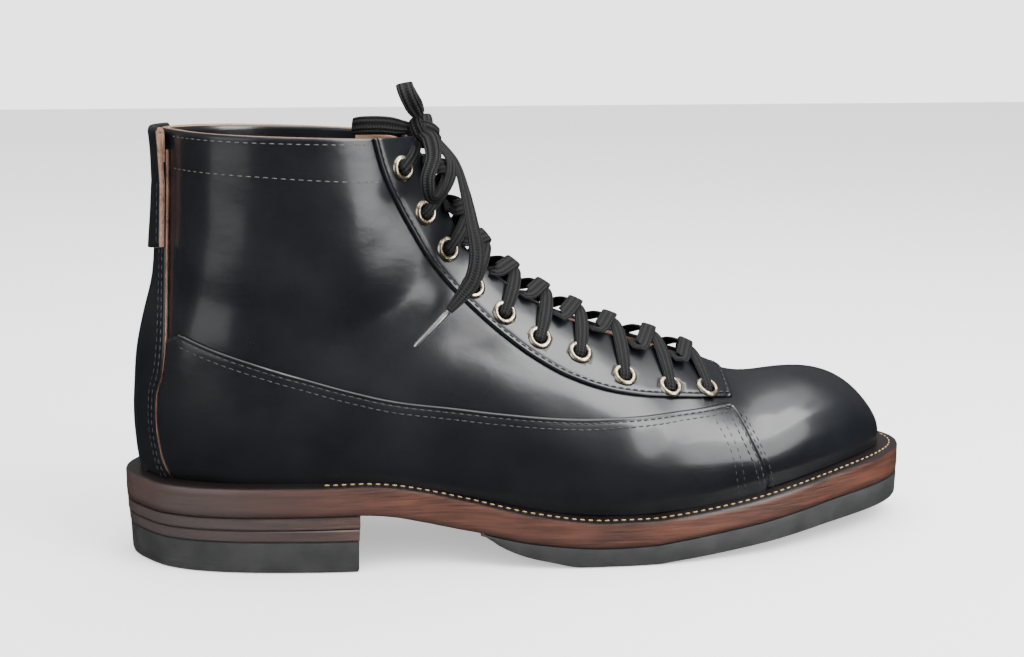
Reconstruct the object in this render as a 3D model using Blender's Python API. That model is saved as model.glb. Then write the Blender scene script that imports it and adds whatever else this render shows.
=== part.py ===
"""Monkey boot, right foot: a laced ankle boot on a stitched leather and rubber sole.

Metres, +Z up, toe toward +X, the outer side of the foot toward -Y. While the pieces are worked out,
x runs from the back of the heel; at the end everything moves so that the origin is the middle of the
heel's flat face on the floor.

The upper is one surface, fan(): planes that all hold the Y direction swing from the toe, over the instep
and round the heel, up to the collar. Each row of FAN gives one plane's lower or back point, its upper or
front point and its half widths. Panels, tongue, insole and eyelets are cut from the same surface.
"""
import math
from collections import namedtuple

import bpy
import bmesh
import numpy as np
from mathutils import Matrix, Vector

# Whole boot
OUTSOLE_LENGTH = 0.3125
COLLAR_HEIGHT = 0.1625
BALL_WIDTH = 0.0822
ANKLE_WIDTH = 0.0670
GAP = 0.0003
PLY_GAP = 0.0005
FOOT_GAP = 0.00045
SEAM_GAP = 0.0008

# Sole
SEAT_HEIGHT = 0.0330
WELT_THICKNESS = 0.0036
WELT_MARGIN = 0.0080
HEEL_BREAST = 0.0886
HEEL_RUBBER = 0.0122
HEEL_TAPER = 0.0012
HEEL_FLARE = 0.0018
HALF_SOLE_START = 0.1330
EDGE_CHAMFER = 0.0006
INSOLE_THICKNESS = 0.0034
INSOLE_CLEARANCE = 0.0012

# Upper
UPPER_WALL = 0.0020
PANEL_THICKNESS = 0.0015
STAY_THICKNESS = 0.0022
THROAT_HALF = 0.0100
TONGUE_WALL = 0.0020
TONGUE_DROP = 0.0028
TONGUE_HALF = 0.0270
TONGUE_FOOT_HALF = 0.0194
LOOP_FOOT_ROW = 22.05
LOOP_SEWN_ROW = 23.1
LOOP_TOP_ROW = 23.72
LOOP_STANDOFF = 0.0010
STAY_TOP_ROW = 23.3

# Eyelets and lace
EYELET_OUTER = 0.0049
EYELET_HOLE = 0.0027
EYELET_BARREL = 0.0033
EYELET_DOME = 0.0011
EYELET_SIDES = 10
HOLE_SIDES = 8
LACE_WIDTH = 0.0064
LACE_THICKNESS = 0.0016
LACE_CORD = 0.0036
CROSSING_SHARE = 0.45
AGLET_LENGTH = 0.0180
AGLET_WIDTH = 0.0026

# Plan of the upper where it meets the sole: shares of OUTSOLE_LENGTH and of BALL_WIDTH.
Plan = namedtuple("Plan", "along outer inner")
PLAN = (
    Plan(0.0240, 0.000, 0.000),
    Plan(0.0420, -0.152, 0.146),
    Plan(0.0640, -0.243, 0.233),
    Plan(0.0992, -0.314, 0.302),
    Plan(0.1632, -0.373, 0.361),
    Plan(0.2080, -0.392, 0.377),
    Plan(0.2560, -0.403, 0.371),
    Plan(0.3200, -0.393, 0.325),
    Plan(0.3680, -0.381, 0.295),
    Plan(0.4160, -0.395, 0.301),
    Plan(0.4800, -0.450, 0.361),
    Plan(0.5440, -0.480, 0.440),
    Plan(0.6080, -0.490, 0.495),
    Plan(0.6592, -0.483, 0.513),
    Plan(0.7104, -0.457, 0.508),
    Plan(0.7680, -0.416, 0.487),
    Plan(0.8192, -0.357, 0.455),
    Plan(0.8576, -0.292, 0.418),
    Plan(0.8960, -0.222, 0.362),
    Plan(0.9280, -0.150, 0.302),
    Plan(0.9520, -0.078, 0.235),
    Plan(0.9670, -0.012, 0.171),
    Plan(0.9744, 0.080, 0.080),
)

# Side view of the sole: shares of OUTSOLE_LENGTH and of SEAT_HEIGHT. top is the face under the upper,
# border is where leather meets rubber, ground is the walking face. margin is a share of WELT_MARGIN.
Side = namedtuple("Side", "along top border ground margin")
SIDE = (
    Side(0.000, 1.000, 0.660, 0.000, 0.94),
    Side(0.200, 1.000, 0.660, 0.000, 0.88),
    Side(0.282, 0.998, 0.655, 0.000, 0.88),
    Side(0.320, 0.967, 0.618, 0.600, 0.88),
    Side(0.352, 0.906, 0.545, 0.525, 0.90),
    Side(0.384, 0.833, 0.470, 0.450, 0.92),
    Side(0.413, 0.770, 0.415, 0.392, 0.96),
    Side(0.426, 0.742, 0.395, 0.366, 0.98),
    Side(0.451, 0.694, 0.350, 0.225, 1.02),
    Side(0.480, 0.639, 0.305, 0.120, 1.06),
    Side(0.509, 0.597, 0.275, 0.060, 1.09),
    Side(0.545, 0.550, 0.245, 0.000, 1.11),
    Side(0.575, 0.532, 0.232, 0.000, 1.11),
    Side(0.635, 0.532, 0.245, 0.000, 1.11),
    Side(0.659, 0.552, 0.272, 0.022, 1.11),
    Side(0.710, 0.597, 0.324, 0.064, 1.11),
    Side(0.768, 0.667, 0.385, 0.118, 1.10),
    Side(0.826, 0.745, 0.452, 0.170, 1.02),
    Side(0.870, 0.800, 0.498, 0.204, 1.00),
    Side(0.912, 0.851, 0.527, 0.226, 1.00),
    Side(0.944, 0.876, 0.538, 0.236, 1.00),
    Side(1.000, 0.909, 0.548, 0.242, 1.00),
)

# Planes of the upper. back_along and front_along are shares of OUTSOLE_LENGTH, back_up and front_up of
# COLLAR_HEIGHT (back_up 0 means that the plane ends on the sole). outer and inner are how far the sides
# stand out from the plan where they are fullest, as shares of ANKLE_WIDTH; full_at is how far up the plane
# that is, crown squares the top and lean draws its shoulders in.
Fan = namedtuple("Fan", "back_along back_up front_along front_up outer inner full_at crown lean")
FAN = (
    Fan(0.9744, 0.000, 0.9744, 0.216, 0.000, 0.000, 0.24, 2.6, 0.00),
    Fan(0.9690, 0.000, 0.9690, 0.245, 0.006, 0.006, 0.24, 2.6, 0.00),
    Fan(0.9560, 0.000, 0.9560, 0.284, 0.012, 0.012, 0.24, 2.6, 0.00),
    Fan(0.9350, 0.000, 0.9350, 0.332, 0.016, 0.016, 0.24, 2.6, 0.00),
    Fan(0.9070, 0.000, 0.9070, 0.367, 0.020, 0.019, 0.24, 2.5, 0.00),
    Fan(0.8700, 0.000, 0.8704, 0.383, 0.024, 0.023, 0.24, 2.4, 0.00),
    Fan(0.8280, 0.000, 0.8320, 0.378, 0.027, 0.026, 0.25, 2.3, 0.05),
    Fan(0.7870, 0.000, 0.7936, 0.368, 0.030, 0.029, 0.26, 2.2, 0.12),
    Fan(0.7390, 0.000, 0.7550, 0.380, 0.034, 0.034, 0.28, 2.1, 0.22),
    Fan(0.6650, 0.000, 0.7040, 0.430, 0.039, 0.041, 0.30, 2.0, 0.30),
    Fan(0.5790, 0.000, 0.6530, 0.468, 0.042, 0.055, 0.30, 2.0, 0.30),
    Fan(0.4860, 0.000, 0.6020, 0.504, 0.045, 0.088, 0.30, 2.0, 0.26),
    Fan(0.3870, 0.000, 0.5500, 0.549, 0.056, 0.118, 0.30, 2.0, 0.22),
    Fan(0.2820, 0.000, 0.5055, 0.601, 0.058, 0.105, 0.30, 2.0, 0.20),
    Fan(0.1660, 0.000, 0.4700, 0.654, 0.042, 0.060, 0.30, 2.0, 0.16),
    Fan(0.0768, 0.000, 0.4480, 0.694, 0.036, 0.040, 0.33, 2.0, 0.12),
    Fan(0.0370, 0.000, 0.4370, 0.718, 0.036, 0.040, 0.36, 2.0, 0.10),
    Fan(0.0240, 0.203, 0.4270, 0.743, 0.036, 0.040, 0.38, 2.0, 0.08),
    Fan(0.0205, 0.266, 0.4175, 0.773, 0.034, 0.038, 0.41, 2.0, 0.06),
    Fan(0.0180, 0.345, 0.4090, 0.807, 0.030, 0.034, 0.44, 2.0, 0.04),
    Fan(0.0235, 0.456, 0.3994, 0.844, 0.024, 0.028, 0.46, 2.0, 0.02),
    Fan(0.0400, 0.585, 0.3878, 0.884, 0.022, 0.028, 0.48, 2.0, 0.00),
    Fan(0.0550, 0.714, 0.3770, 0.920, 0.028, 0.034, 0.49, 2.0, 0.00),
    Fan(0.0615, 0.856, 0.3680, 0.948, 0.036, 0.042, 0.50, 2.0, 0.00),
    Fan(0.0652, 1.012, 0.3616, 0.972, 0.046, 0.052, 0.50, 2.0, 0.00),
    Fan(0.0665, 1.065, 0.3568, 1.005, 0.050, 0.056, 0.50, 2.0, 0.00),
)
HEEL_ROW = 17.0
HEEL_BLEND = 3.0
COLLAR_ROW = 24.0
THROAT_ROW = 8.75
THROAT_ROUND = 0.7
EYESTAY_ROW = 8.02
TONGUE_WIDENS = 5.0
TONGUE_SEWN_ROW = 8.6
PANEL_TIP = 0.04
FOXING_TOE_ROW = 7.05

# Seams in side view, as shares of OUTSOLE_LENGTH and of COLLAR_HEIGHT.
Seam = namedtuple("Seam", "along up")
FOXING_SEAM = (
    Seam(0.040, 0.580), Seam(0.106, 0.530), Seam(0.160, 0.492), Seam(0.218, 0.452), Seam(0.275, 0.418),
    Seam(0.333, 0.390), Seam(0.390, 0.374), Seam(0.451, 0.357), Seam(0.570, 0.337), Seam(0.672, 0.335),
    Seam(0.742, 0.338), Seam(0.763, 0.262), Seam(0.778, 0.200), Seam(0.786, 0.155), Seam(0.800, 0.130),
)
EYESTAY_SEAM = (
    Seam(0.296, 1.080), Seam(0.317, 0.905), Seam(0.336, 0.820), Seam(0.349, 0.772), Seam(0.371, 0.698),
    Seam(0.396, 0.636), Seam(0.424, 0.580), Seam(0.456, 0.524), Seam(0.493, 0.470), Seam(0.538, 0.422),
    Seam(0.600, 0.383), Seam(0.676, 0.361), Seam(0.725, 0.352), Seam(0.760, 0.344), Seam(0.800, 0.336),
)
# Front edge of the back stay, up the back: up is the key here.
STAY_EDGE = (
    Seam(0.0680, 0.19), Seam(0.0540, 0.26), Seam(0.0500, 0.33), Seam(0.0525, 0.40), Seam(0.0605, 0.45),
    Seam(0.0665, 0.54), Seam(0.0680, 0.64), Seam(0.0708, 0.76), Seam(0.0745, 0.90), Seam(0.0765, 1.05),
)
# Middles of the eyelets in side view, from the top pair down.
EYELETS = (
    Seam(0.341, 0.914), Seam(0.368, 0.811), Seam(0.394, 0.722), Seam(0.422, 0.636), Seam(0.461, 0.573),
    Seam(0.504, 0.513), Seam(0.554, 0.474), Seam(0.608, 0.421), Seam(0.666, 0.392), Seam(0.716, 0.376),
)
# Middle line of the foot, along and across: it swings inward toward the toe.
MIDDLE = ((0.00, 0.0), (0.45, 0.0), (0.60, 0.018), (0.75, 0.044), (0.88, 0.068), (0.9744, 0.080))

# The bow, in metres from the heel's back: knot, loops from and back to it, and the long free end.
KNOT = (0.1165, -0.0020, 0.1595)
KNOT_SIZE = (0.0054, 0.0050, 0.0062)
AGLET_AIM = (-0.0105, -0.0030, -0.0100)
LACE_ROUTES = (
    ("lace_loop_up", ((0.1140, -0.0055, 0.1665), (0.1112, -0.0072, 0.1710), (0.1095, -0.0062, 0.1752),
                      (0.1093, -0.0025, 0.1770), (0.1102, 0.0008, 0.1748), (0.1126, 0.0010, 0.1705),
                      (0.1148, 0.0000, 0.1675))),
    ("lace_loop_back", ((0.1090, -0.0030, 0.1610), (0.1020, -0.0020, 0.1620), (0.0940, 0.0000, 0.1620),
                        (0.0902, 0.0034, 0.1612), (0.0930, 0.0068, 0.1608), (0.1010, 0.0066, 0.1608),
                        (0.1095, 0.0040, 0.1610))),
    ("lace_loop_front", ((0.1155, -0.0095, 0.1592), (0.1176, -0.0165, 0.1578), (0.1180, -0.0260, 0.1520),
                         (0.1152, -0.0338, 0.1445),
                         (0.1165, -0.0374, 0.1380), (0.1208, -0.0345, 0.1400), (0.1248, -0.0225, 0.1490),
                         (0.1205, -0.0090, 0.1560))),
    ("lace_end", ((0.1230, -0.0035, 0.1555), (0.1278, -0.0080, 0.1480), (0.1303, -0.0165, 0.1385),
                  (0.1320, -0.0250, 0.1270), (0.1332, -0.0300, 0.1165), (0.1310, -0.0330, 0.1075),
                  (0.1262, -0.0350, 0.1015), (0.1222, -0.0370, 0.0975))),
)


def through(keys, values):
    """A smooth curve through points, which never overshoots them."""
    keys = np.asarray(keys, float)
    values = np.asarray(values, float)
    gaps = np.diff(keys)
    slopes = np.diff(values) / gaps
    tangents = np.zeros(len(keys))
    tangents[0] = slopes[0]
    tangents[-1] = slopes[-1]
    for i in range(1, len(keys) - 1):
        if slopes[i - 1] * slopes[i] > 0:
            a = 2 * gaps[i] + gaps[i - 1]
            b = gaps[i] + 2 * gaps[i - 1]
            tangents[i] = (a + b) / (a / slopes[i - 1] + b / slopes[i])

    def at(key):
        key = min(max(key, keys[0]), keys[-1])
        i = min(int(np.searchsorted(keys, key, side="right")) - 1, len(keys) - 2)
        i = max(i, 0)
        s = (key - keys[i]) / gaps[i]
        return float((1 + 2 * s) * (1 - s) ** 2 * values[i] + s * (1 - s) ** 2 * gaps[i] * tangents[i]
                     + s * s * (3 - 2 * s) * values[i + 1] + s * s * (s - 1) * gaps[i] * tangents[i + 1])
    return at


def column(rows, key, name, key_size, size):
    return through([getattr(r, key) * key_size for r in rows], [getattr(r, name) * size for r in rows])


# The plan is smoothed over the angle of a circle drawn on its length, so that heel and toe close round.
HEEL_TIP = PLAN[0].along * OUTSOLE_LENGTH
TOE_TIP = PLAN[-1].along * OUTSOLE_LENGTH


def plan_angle(x):
    share = (x - HEEL_TIP) / (TOE_TIP - HEEL_TIP)
    return math.acos(1 - 2 * min(max(share, 0.0), 1.0))


_angles = [plan_angle(r.along * OUTSOLE_LENGTH) for r in PLAN]
_plan_outer = through(_angles, [r.outer * BALL_WIDTH for r in PLAN])
_plan_inner = through(_angles, [r.inner * BALL_WIDTH for r in PLAN])
middle = through([m[0] * OUTSOLE_LENGTH for m in MIDDLE], [m[1] * BALL_WIDTH for m in MIDDLE])
seat = column(SIDE, "along", "top", OUTSOLE_LENGTH, SEAT_HEIGHT)
border = column(SIDE, "along", "border", OUTSOLE_LENGTH, SEAT_HEIGHT)
ground = column(SIDE, "along", "ground", OUTSOLE_LENGTH, SEAT_HEIGHT)
margin = column(SIDE, "along", "margin", OUTSOLE_LENGTH, WELT_MARGIN)


def plan_at(x, side):
    """Half width of the foot's plan from the middle line; side is -1 outside, 1 inside."""
    edge = _plan_outer if side < 0 else _plan_inner
    return max(side * (edge(plan_angle(x)) - middle(x)), 0.0)


fan_rows = list(range(len(FAN)))
back_along = through(fan_rows, [r.back_along * OUTSOLE_LENGTH for r in FAN])
front_along = through(fan_rows, [r.front_along * OUTSOLE_LENGTH for r in FAN])
front_up = through(fan_rows, [r.front_up * COLLAR_HEIGHT for r in FAN])
shaft_rows = [i for i in fan_rows if i >= HEEL_ROW]
shaft_up = through(shaft_rows, [max(FAN[i].back_up * COLLAR_HEIGHT, SEAT_HEIGHT + GAP) for i in shaft_rows])
fan_outer = through(fan_rows, [r.outer * ANKLE_WIDTH for r in FAN])
fan_inner = through(fan_rows, [r.inner * ANKLE_WIDTH for r in FAN])
fan_full = through(fan_rows, [r.full_at for r in FAN])
fan_crown = through(fan_rows, [r.crown for r in FAN])
fan_lean = through(fan_rows, [r.lean for r in FAN])


def plane_ends(u):
    """Back and front point of a plane, in side view."""
    x = back_along(u)
    z = shaft_up(u) if u >= HEEL_ROW else seat(x) + GAP
    return (x, z), (front_along(u), front_up(u))


def heel_share(u):
    """0 over the foot, 1 from the heel's corner up: how far a plane's back end is rounded."""
    return min(max((u - HEEL_ROW + HEEL_BLEND) / HEEL_BLEND, 0.0), 1.0)


def half_width(u, t, side):
    """Half width at share t of plane u: the foot's plan low down, then the rounded top."""
    (x0, _z0), (x1, _z1) = plane_ends(u)
    shift = x0 - HEEL_TIP if u > HEEL_ROW else 0.0
    at = fan_full(u)
    full = plan_at(x0 + (x1 - x0) * at - shift, side) + (fan_outer(u) if side < 0 else fan_inner(u))
    if t < at:
        base = plan_at(x0 + (x1 - x0) * t - shift, side)
        rise = t / at
        round_in = rise * rise * (3 - 2 * rise)
        bulge = rise * (2 - rise)
        return base + (full - base) * (bulge + (round_in - bulge) * heel_share(u))
    rise = min((t - at) / (1 - at), 1.0)
    return full * math.sqrt(max(1 - rise ** fan_crown(u), 0.0)) * (1 - fan_lean(u) * rise ** 2)


def climb(u, s):
    """Share of the way up plane u for an even step s round it: 0 back, 0.5 fullest, 1 front."""
    at = fan_full(u)
    if s < 0.5:
        bend = heel_share(u)
        return at * ((1 - bend) * 2 * s + bend * (1 - math.cos(math.pi * s)))
    return at + (1 - at) * math.sin(math.pi * (s - 0.5))


def side_view(u, s):
    (x0, z0), (x1, z1) = plane_ends(u)
    t = climb(u, s)
    return x0 + (x1 - x0) * t, z0 + (z1 - z0) * t


def fan(u, s, side):
    """A point of the upper's outer face: plane u, step s round it, side -1 or 1."""
    x, z = side_view(u, s)
    return Vector((x, middle(x) + side * half_width(u, climb(u, s), side), z))


def bisect(test, low, high):
    """The value where test changes from false to true."""
    for _ in range(40):
        mid = (low + high) / 2
        if test(mid):
            high = mid
        else:
            low = mid
    return (low + high) / 2


def locate(x, z):
    """The plane and step of a point in side view."""
    def past(u):
        (x0, z0), (x1, z1) = plane_ends(u)
        return (x1 - x0) * (z - z0) - (z1 - z0) * (x - x0) < 0

    u = bisect(past, 0.0, len(FAN) - 1.0)
    (x0, z0), (x1, z1) = plane_ends(u)
    run = (x1 - x0) ** 2 + (z1 - z0) ** 2
    share = ((x - x0) * (x1 - x0) + (z - z0) * (z1 - z0)) / run
    return u, bisect(lambda s: climb(u, s) > share, 0.0, 1.0)


_foxing_top = column(FOXING_SEAM, "along", "up", OUTSOLE_LENGTH, COLLAR_HEIGHT)
_eyestay_low = column(EYESTAY_SEAM, "along", "up", OUTSOLE_LENGTH, COLLAR_HEIGHT)
_stay_edge = column(STAY_EDGE, "up", "along", COLLAR_HEIGHT, OUTSOLE_LENGTH)


def step_where(u, test):
    """How far round plane u a seam is met."""
    return bisect(lambda s: test(*side_view(u, s)), 0.0, 1.0)


def foxing_step(u):
    return step_where(u, lambda x, z: z > _foxing_top(x))


def eyestay_step(u):
    return step_where(u, lambda x, z: z > _eyestay_low(x))


def stay_step(u):
    return step_where(u, lambda x, z: x > _stay_edge(z))


def throat_gap(u):
    """Half width of the open throat; round at its lower end."""
    if u <= THROAT_ROW:
        return 0.0
    return THROAT_HALF * math.sqrt(1 - (1 - min((u - THROAT_ROW) / THROAT_ROUND, 1.0)) ** 2)


def throat_step(u, side):
    gap = throat_gap(u)
    if gap <= 0:
        return 1.0
    return bisect(lambda s: half_width(u, climb(u, s), side) < gap, 0.5, 1.0)


def seam_step(u):
    """The step that makes one seam's gap along plane u."""
    s = 0.25
    a = fan(u, s, 1)
    return SEAM_GAP / ((fan(u, s + 0.01, 1) - a).length / 0.01)


def panel_low(u):
    return 0.0 if u < STAY_FOOT_ROW - 1e-6 else stay_step(u) + seam_step(u)


def panel_high(u, side):
    if u < EYESTAY_ROW:
        return foxing_step(u)
    return min(foxing_step(u), eyestay_step(u) - seam_step(u))


STAY_FOOT_ROW = bisect(lambda u: back_along(u) < _stay_edge(seat(0.0)) - 0.0001, 15.0, HEEL_ROW)
PANEL_LAST_ROW = bisect(lambda u: panel_low(u) > panel_high(u, -1) - PANEL_TIP, HEEL_ROW, 22.0)
# Every sheet of the upper takes its planes and steps from these, so that plies lie facet on facet.
ROWS = sorted([0.0, 0.2, 0.6, 1.2, 1.9, 2.6, 3.3, 4.1, 4.9, 5.7, 6.4, FOXING_TOE_ROW, 7.3, 7.55, 7.8,
               EYESTAY_ROW, 8.4, THROAT_ROW, THROAT_ROW + 0.04, THROAT_ROW + 0.16, THROAT_ROW + 0.36,
               THROAT_ROW + THROAT_ROUND, 9.9, 10.4, 10.9, 11.35, 11.7, 12.0, 12.3, 12.55, 12.8, 13.1, 13.5,
               14.0, 14.5, 15.0, 15.4, STAY_FOOT_ROW, STAY_FOOT_ROW + 0.25, 16.3, 16.65, HEEL_ROW, 17.6, 18.3,
               19.0, 19.7, PANEL_LAST_ROW, 21.2, LOOP_FOOT_ROW, 22.6, LOOP_SEWN_ROW, STAY_TOP_ROW, COLLAR_ROW])
STEPS = [0.0, 0.1, 0.2, 0.3, 0.4, 0.5, 0.61, 0.72, 0.82, 0.90, 0.96, 1.0]


# Building blocks

scene = bpy.context.scene


def clear_scene():
    for thing in list(bpy.data.objects):
        bpy.data.objects.remove(thing, do_unlink=True)


def material(name, color, roughness, metallic=0.0):
    mat = bpy.data.materials.new(name)
    mat.use_nodes = True
    shader = mat.node_tree.nodes["Principled BSDF"]
    shader.inputs["Base Color"].default_value = (*color, 1.0)
    shader.inputs["Roughness"].default_value = roughness
    shader.inputs["Metallic"].default_value = metallic
    mat.diffuse_color = (*color, 1.0)
    return mat


def finish(bm, name, mat, smooth=True):
    """Close a mesh, face it outward and make it an object."""
    bmesh.ops.remove_doubles(bm, verts=bm.verts, dist=0.000001)
    bmesh.ops.dissolve_degenerate(bm, edges=bm.edges, dist=0.000001)
    bmesh.ops.recalc_face_normals(bm, faces=bm.faces)
    if bm.calc_volume(signed=True) < 0:
        bmesh.ops.reverse_faces(bm, faces=bm.faces)
    mesh = bpy.data.meshes.new(name)
    bm.to_mesh(mesh)
    bm.free()
    if smooth:
        mesh.shade_smooth()
        mesh.set_sharp_from_angle(angle=math.radians(40))
    obj = bpy.data.objects.new(name, mesh)
    scene.collection.objects.link(obj)
    mesh.materials.append(mat)
    return obj


def sheet(grids):
    """One skin from grids of points; grids that share an edge are joined there."""
    bm = bmesh.new()
    for grid, flip in grids:
        rows = [[bm.verts.new(p) for p in row] for row in grid]
        for a, b in zip(rows, rows[1:]):
            for i in range(len(a) - 1):
                for corner in ((a[i], a[i + 1], b[i]), (a[i + 1], b[i + 1], b[i])):
                    bm.faces.new(corner[::-1] if flip else corner)
    bmesh.ops.remove_doubles(bm, verts=bm.verts, dist=0.000002)
    bmesh.ops.dissolve_degenerate(bm, edges=bm.edges, dist=0.000001)
    bm.normal_update()
    return bm


def above_welt(p):
    """The point, no lower than just over the welt."""
    return Vector((p.x, p.y, max(p.z, seat(p.x) + FOOT_GAP)))


def shell(bm, lift, thickness):
    """Turn a skin into a closed sheet: its near face lifted along the normals, then as thick as asked."""
    bm.normal_update()
    normals = {v: v.normal.copy() for v in bm.verts}
    spread_of = {}
    for v in bm.verts:
        faces = v.link_faces
        least = min((v.normal.dot(f.normal) for f in faces), default=1.0)
        spread_of[v] = 1 / max(least, 0.8)
    borders = [e for e in bm.edges if e.is_boundary]
    top = {}
    skin = list(bm.faces)
    base = list(bm.verts)
    for v in base:
        step = normals[v] * spread_of[v]
        top[v] = bm.verts.new(above_welt(v.co + step * (lift + thickness)))
        v.co = above_welt(v.co + step * lift)
    for face in skin:
        bm.faces.new([top[v] for v in face.verts])
    for edge in borders:
        loop = edge.link_loops[0]
        a, b = loop.vert, loop.link_loop_next.vert
        bm.faces.new((a, b, top[b], top[a]))
    bmesh.ops.reverse_faces(bm, faces=skin)
    return bm


def ring_offset(points, distances):
    """A closed outline moved outward, each point by its own distance."""
    out = []
    count = len(points)
    for i, p in enumerate(points):
        before = points[i - 1]
        after = points[(i + 1) % count]
        along = Vector((after[0] - before[0], after[1] - before[1]))
        normal = Vector((along.y, -along.x)).normalized()
        out.append((p[0] + normal.x * distances[i], p[1] + normal.y * distances[i]))
    return out


SOLE_STEPS = 40
HEEL_STEPS = 18


def sole_ring(grow):
    """The sole's outline, anticlockwise from the heel tip: the upper's plan with its margin."""
    outer = []
    inner = []
    for i in range(SOLE_STEPS + 1):
        angle = math.pi * i / SOLE_STEPS
        x = HEEL_TIP + (TOE_TIP - HEEL_TIP) * (1 - math.cos(angle)) / 2
        outer.append((x, _plan_outer(angle)))
        inner.append((x, _plan_inner(angle)))
    ring = outer + inner[1:-1][::-1]
    return ring_offset(ring, [margin(p[0]) + grow for p in ring])


def sole_edges(grow):
    """Half widths of the sole outline as curves over x, and its two tips."""
    ring = sole_ring(grow)
    outer = ring[:SOLE_STEPS + 1]
    inner = [ring[0]] + ring[SOLE_STEPS + 1:][::-1] + [ring[SOLE_STEPS]]
    heel = min(p[0] for p in outer)
    toe = max(p[0] for p in outer)

    def angle_of(x):
        return math.acos(1 - 2 * min(max((x - heel) / (toe - heel), 0.0), 1.0))

    low = through([angle_of(p[0]) + i * 1e-7 for i, p in enumerate(outer)], [p[1] for p in outer])
    high = through([angle_of(p[0]) + i * 1e-7 for i, p in enumerate(inner)], [p[1] for p in inner])
    return (lambda x: low(angle_of(x))), (lambda x: high(angle_of(x))), heel, toe


def slab(name, mat, start, end, top, bottom, grow=0.0, chamfer_top=0.0, chamfer_bottom=0.0,
         taper=0.0, flare=0.0, steps=42):
    """A layer of the sole between two side-view curves, from start to end along the foot."""
    rings = []
    for level, inset, draw in ((0, chamfer_top, 0.0), (1, 0.0, 0.0), (2, 0.0, taper),
                               (3, chamfer_bottom, taper)):
        low, high, heel, toe = sole_edges(grow - inset - draw)
        first = max(start, heel) if start <= heel + 0.002 else start
        last = min(end, toe) if end >= toe - 0.002 else end
        stations = []
        for i in range(steps + 1):
            s = i / steps
            if start <= heel + 0.002 and end >= toe - 0.002:
                s = (1 - math.cos(math.pi * s)) / 2
            elif start <= heel + 0.002:
                s = 1 - math.cos(math.pi / 2 * s)
            elif end >= toe - 0.002:
                s = math.sin(math.pi / 2 * s)
            stations.append(first + (last - first) * s)
        ring = []
        for x in stations:
            up, down = top(x), bottom(x)
            z = (up, up - chamfer_top, down + chamfer_bottom, down)[level]
            wide = flare * (x / end) ** 3
            ring.append((Vector((x, low(x) - wide, z)), Vector((x, high(x) + wide, z))))
        rings.append(ring)
    bm = bmesh.new()

    verts = [[(bm.verts.new(a), bm.verts.new(b)) for a, b in ring] for ring in rings]
    for ring in (verts[0], verts[-1]):
        for (a, b), (c, d) in zip(ring, ring[1:]):
            bm.faces.new((a, c, d, b))
    for upper_ring, lower_ring in zip(verts, verts[1:]):
        for i in range(steps):
            for side in (0, 1):
                bm.faces.new((upper_ring[i][side], upper_ring[i + 1][side],
                              lower_ring[i + 1][side], lower_ring[i][side]))
        for i in (0, steps):
            bm.faces.new((upper_ring[i][0], upper_ring[i][1], lower_ring[i][1], lower_ring[i][0]))
    bmesh.ops.remove_doubles(bm, verts=bm.verts, dist=0.000002)
    return finish(bm, name, mat)


def side_grid(side, rows, low, high):
    """Points of the upper on one side, between two steps of each plane."""
    grid = []
    for u in rows:
        a = low(u)
        b = max(high(u, side), a)
        grid.append([fan(u, min(max(s, a), b), side) for s in STEPS])
    return grid


def rows_between(first, last):
    """The shared planes from first to last, with last itself."""
    return [u for u in ROWS if first - 1e-9 <= u < last - 0.08] + [last]


def ply(name, mat, first, last, low, high, lift, thickness):
    """A closed sheet of both sides of the upper."""
    rows = rows_between(first, last)
    grids = [(side_grid(side, rows, low, high), side > 0) for side in (-1, 1)]
    return finish(shell(sheet(grids), lift, thickness), name, mat)


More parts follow.
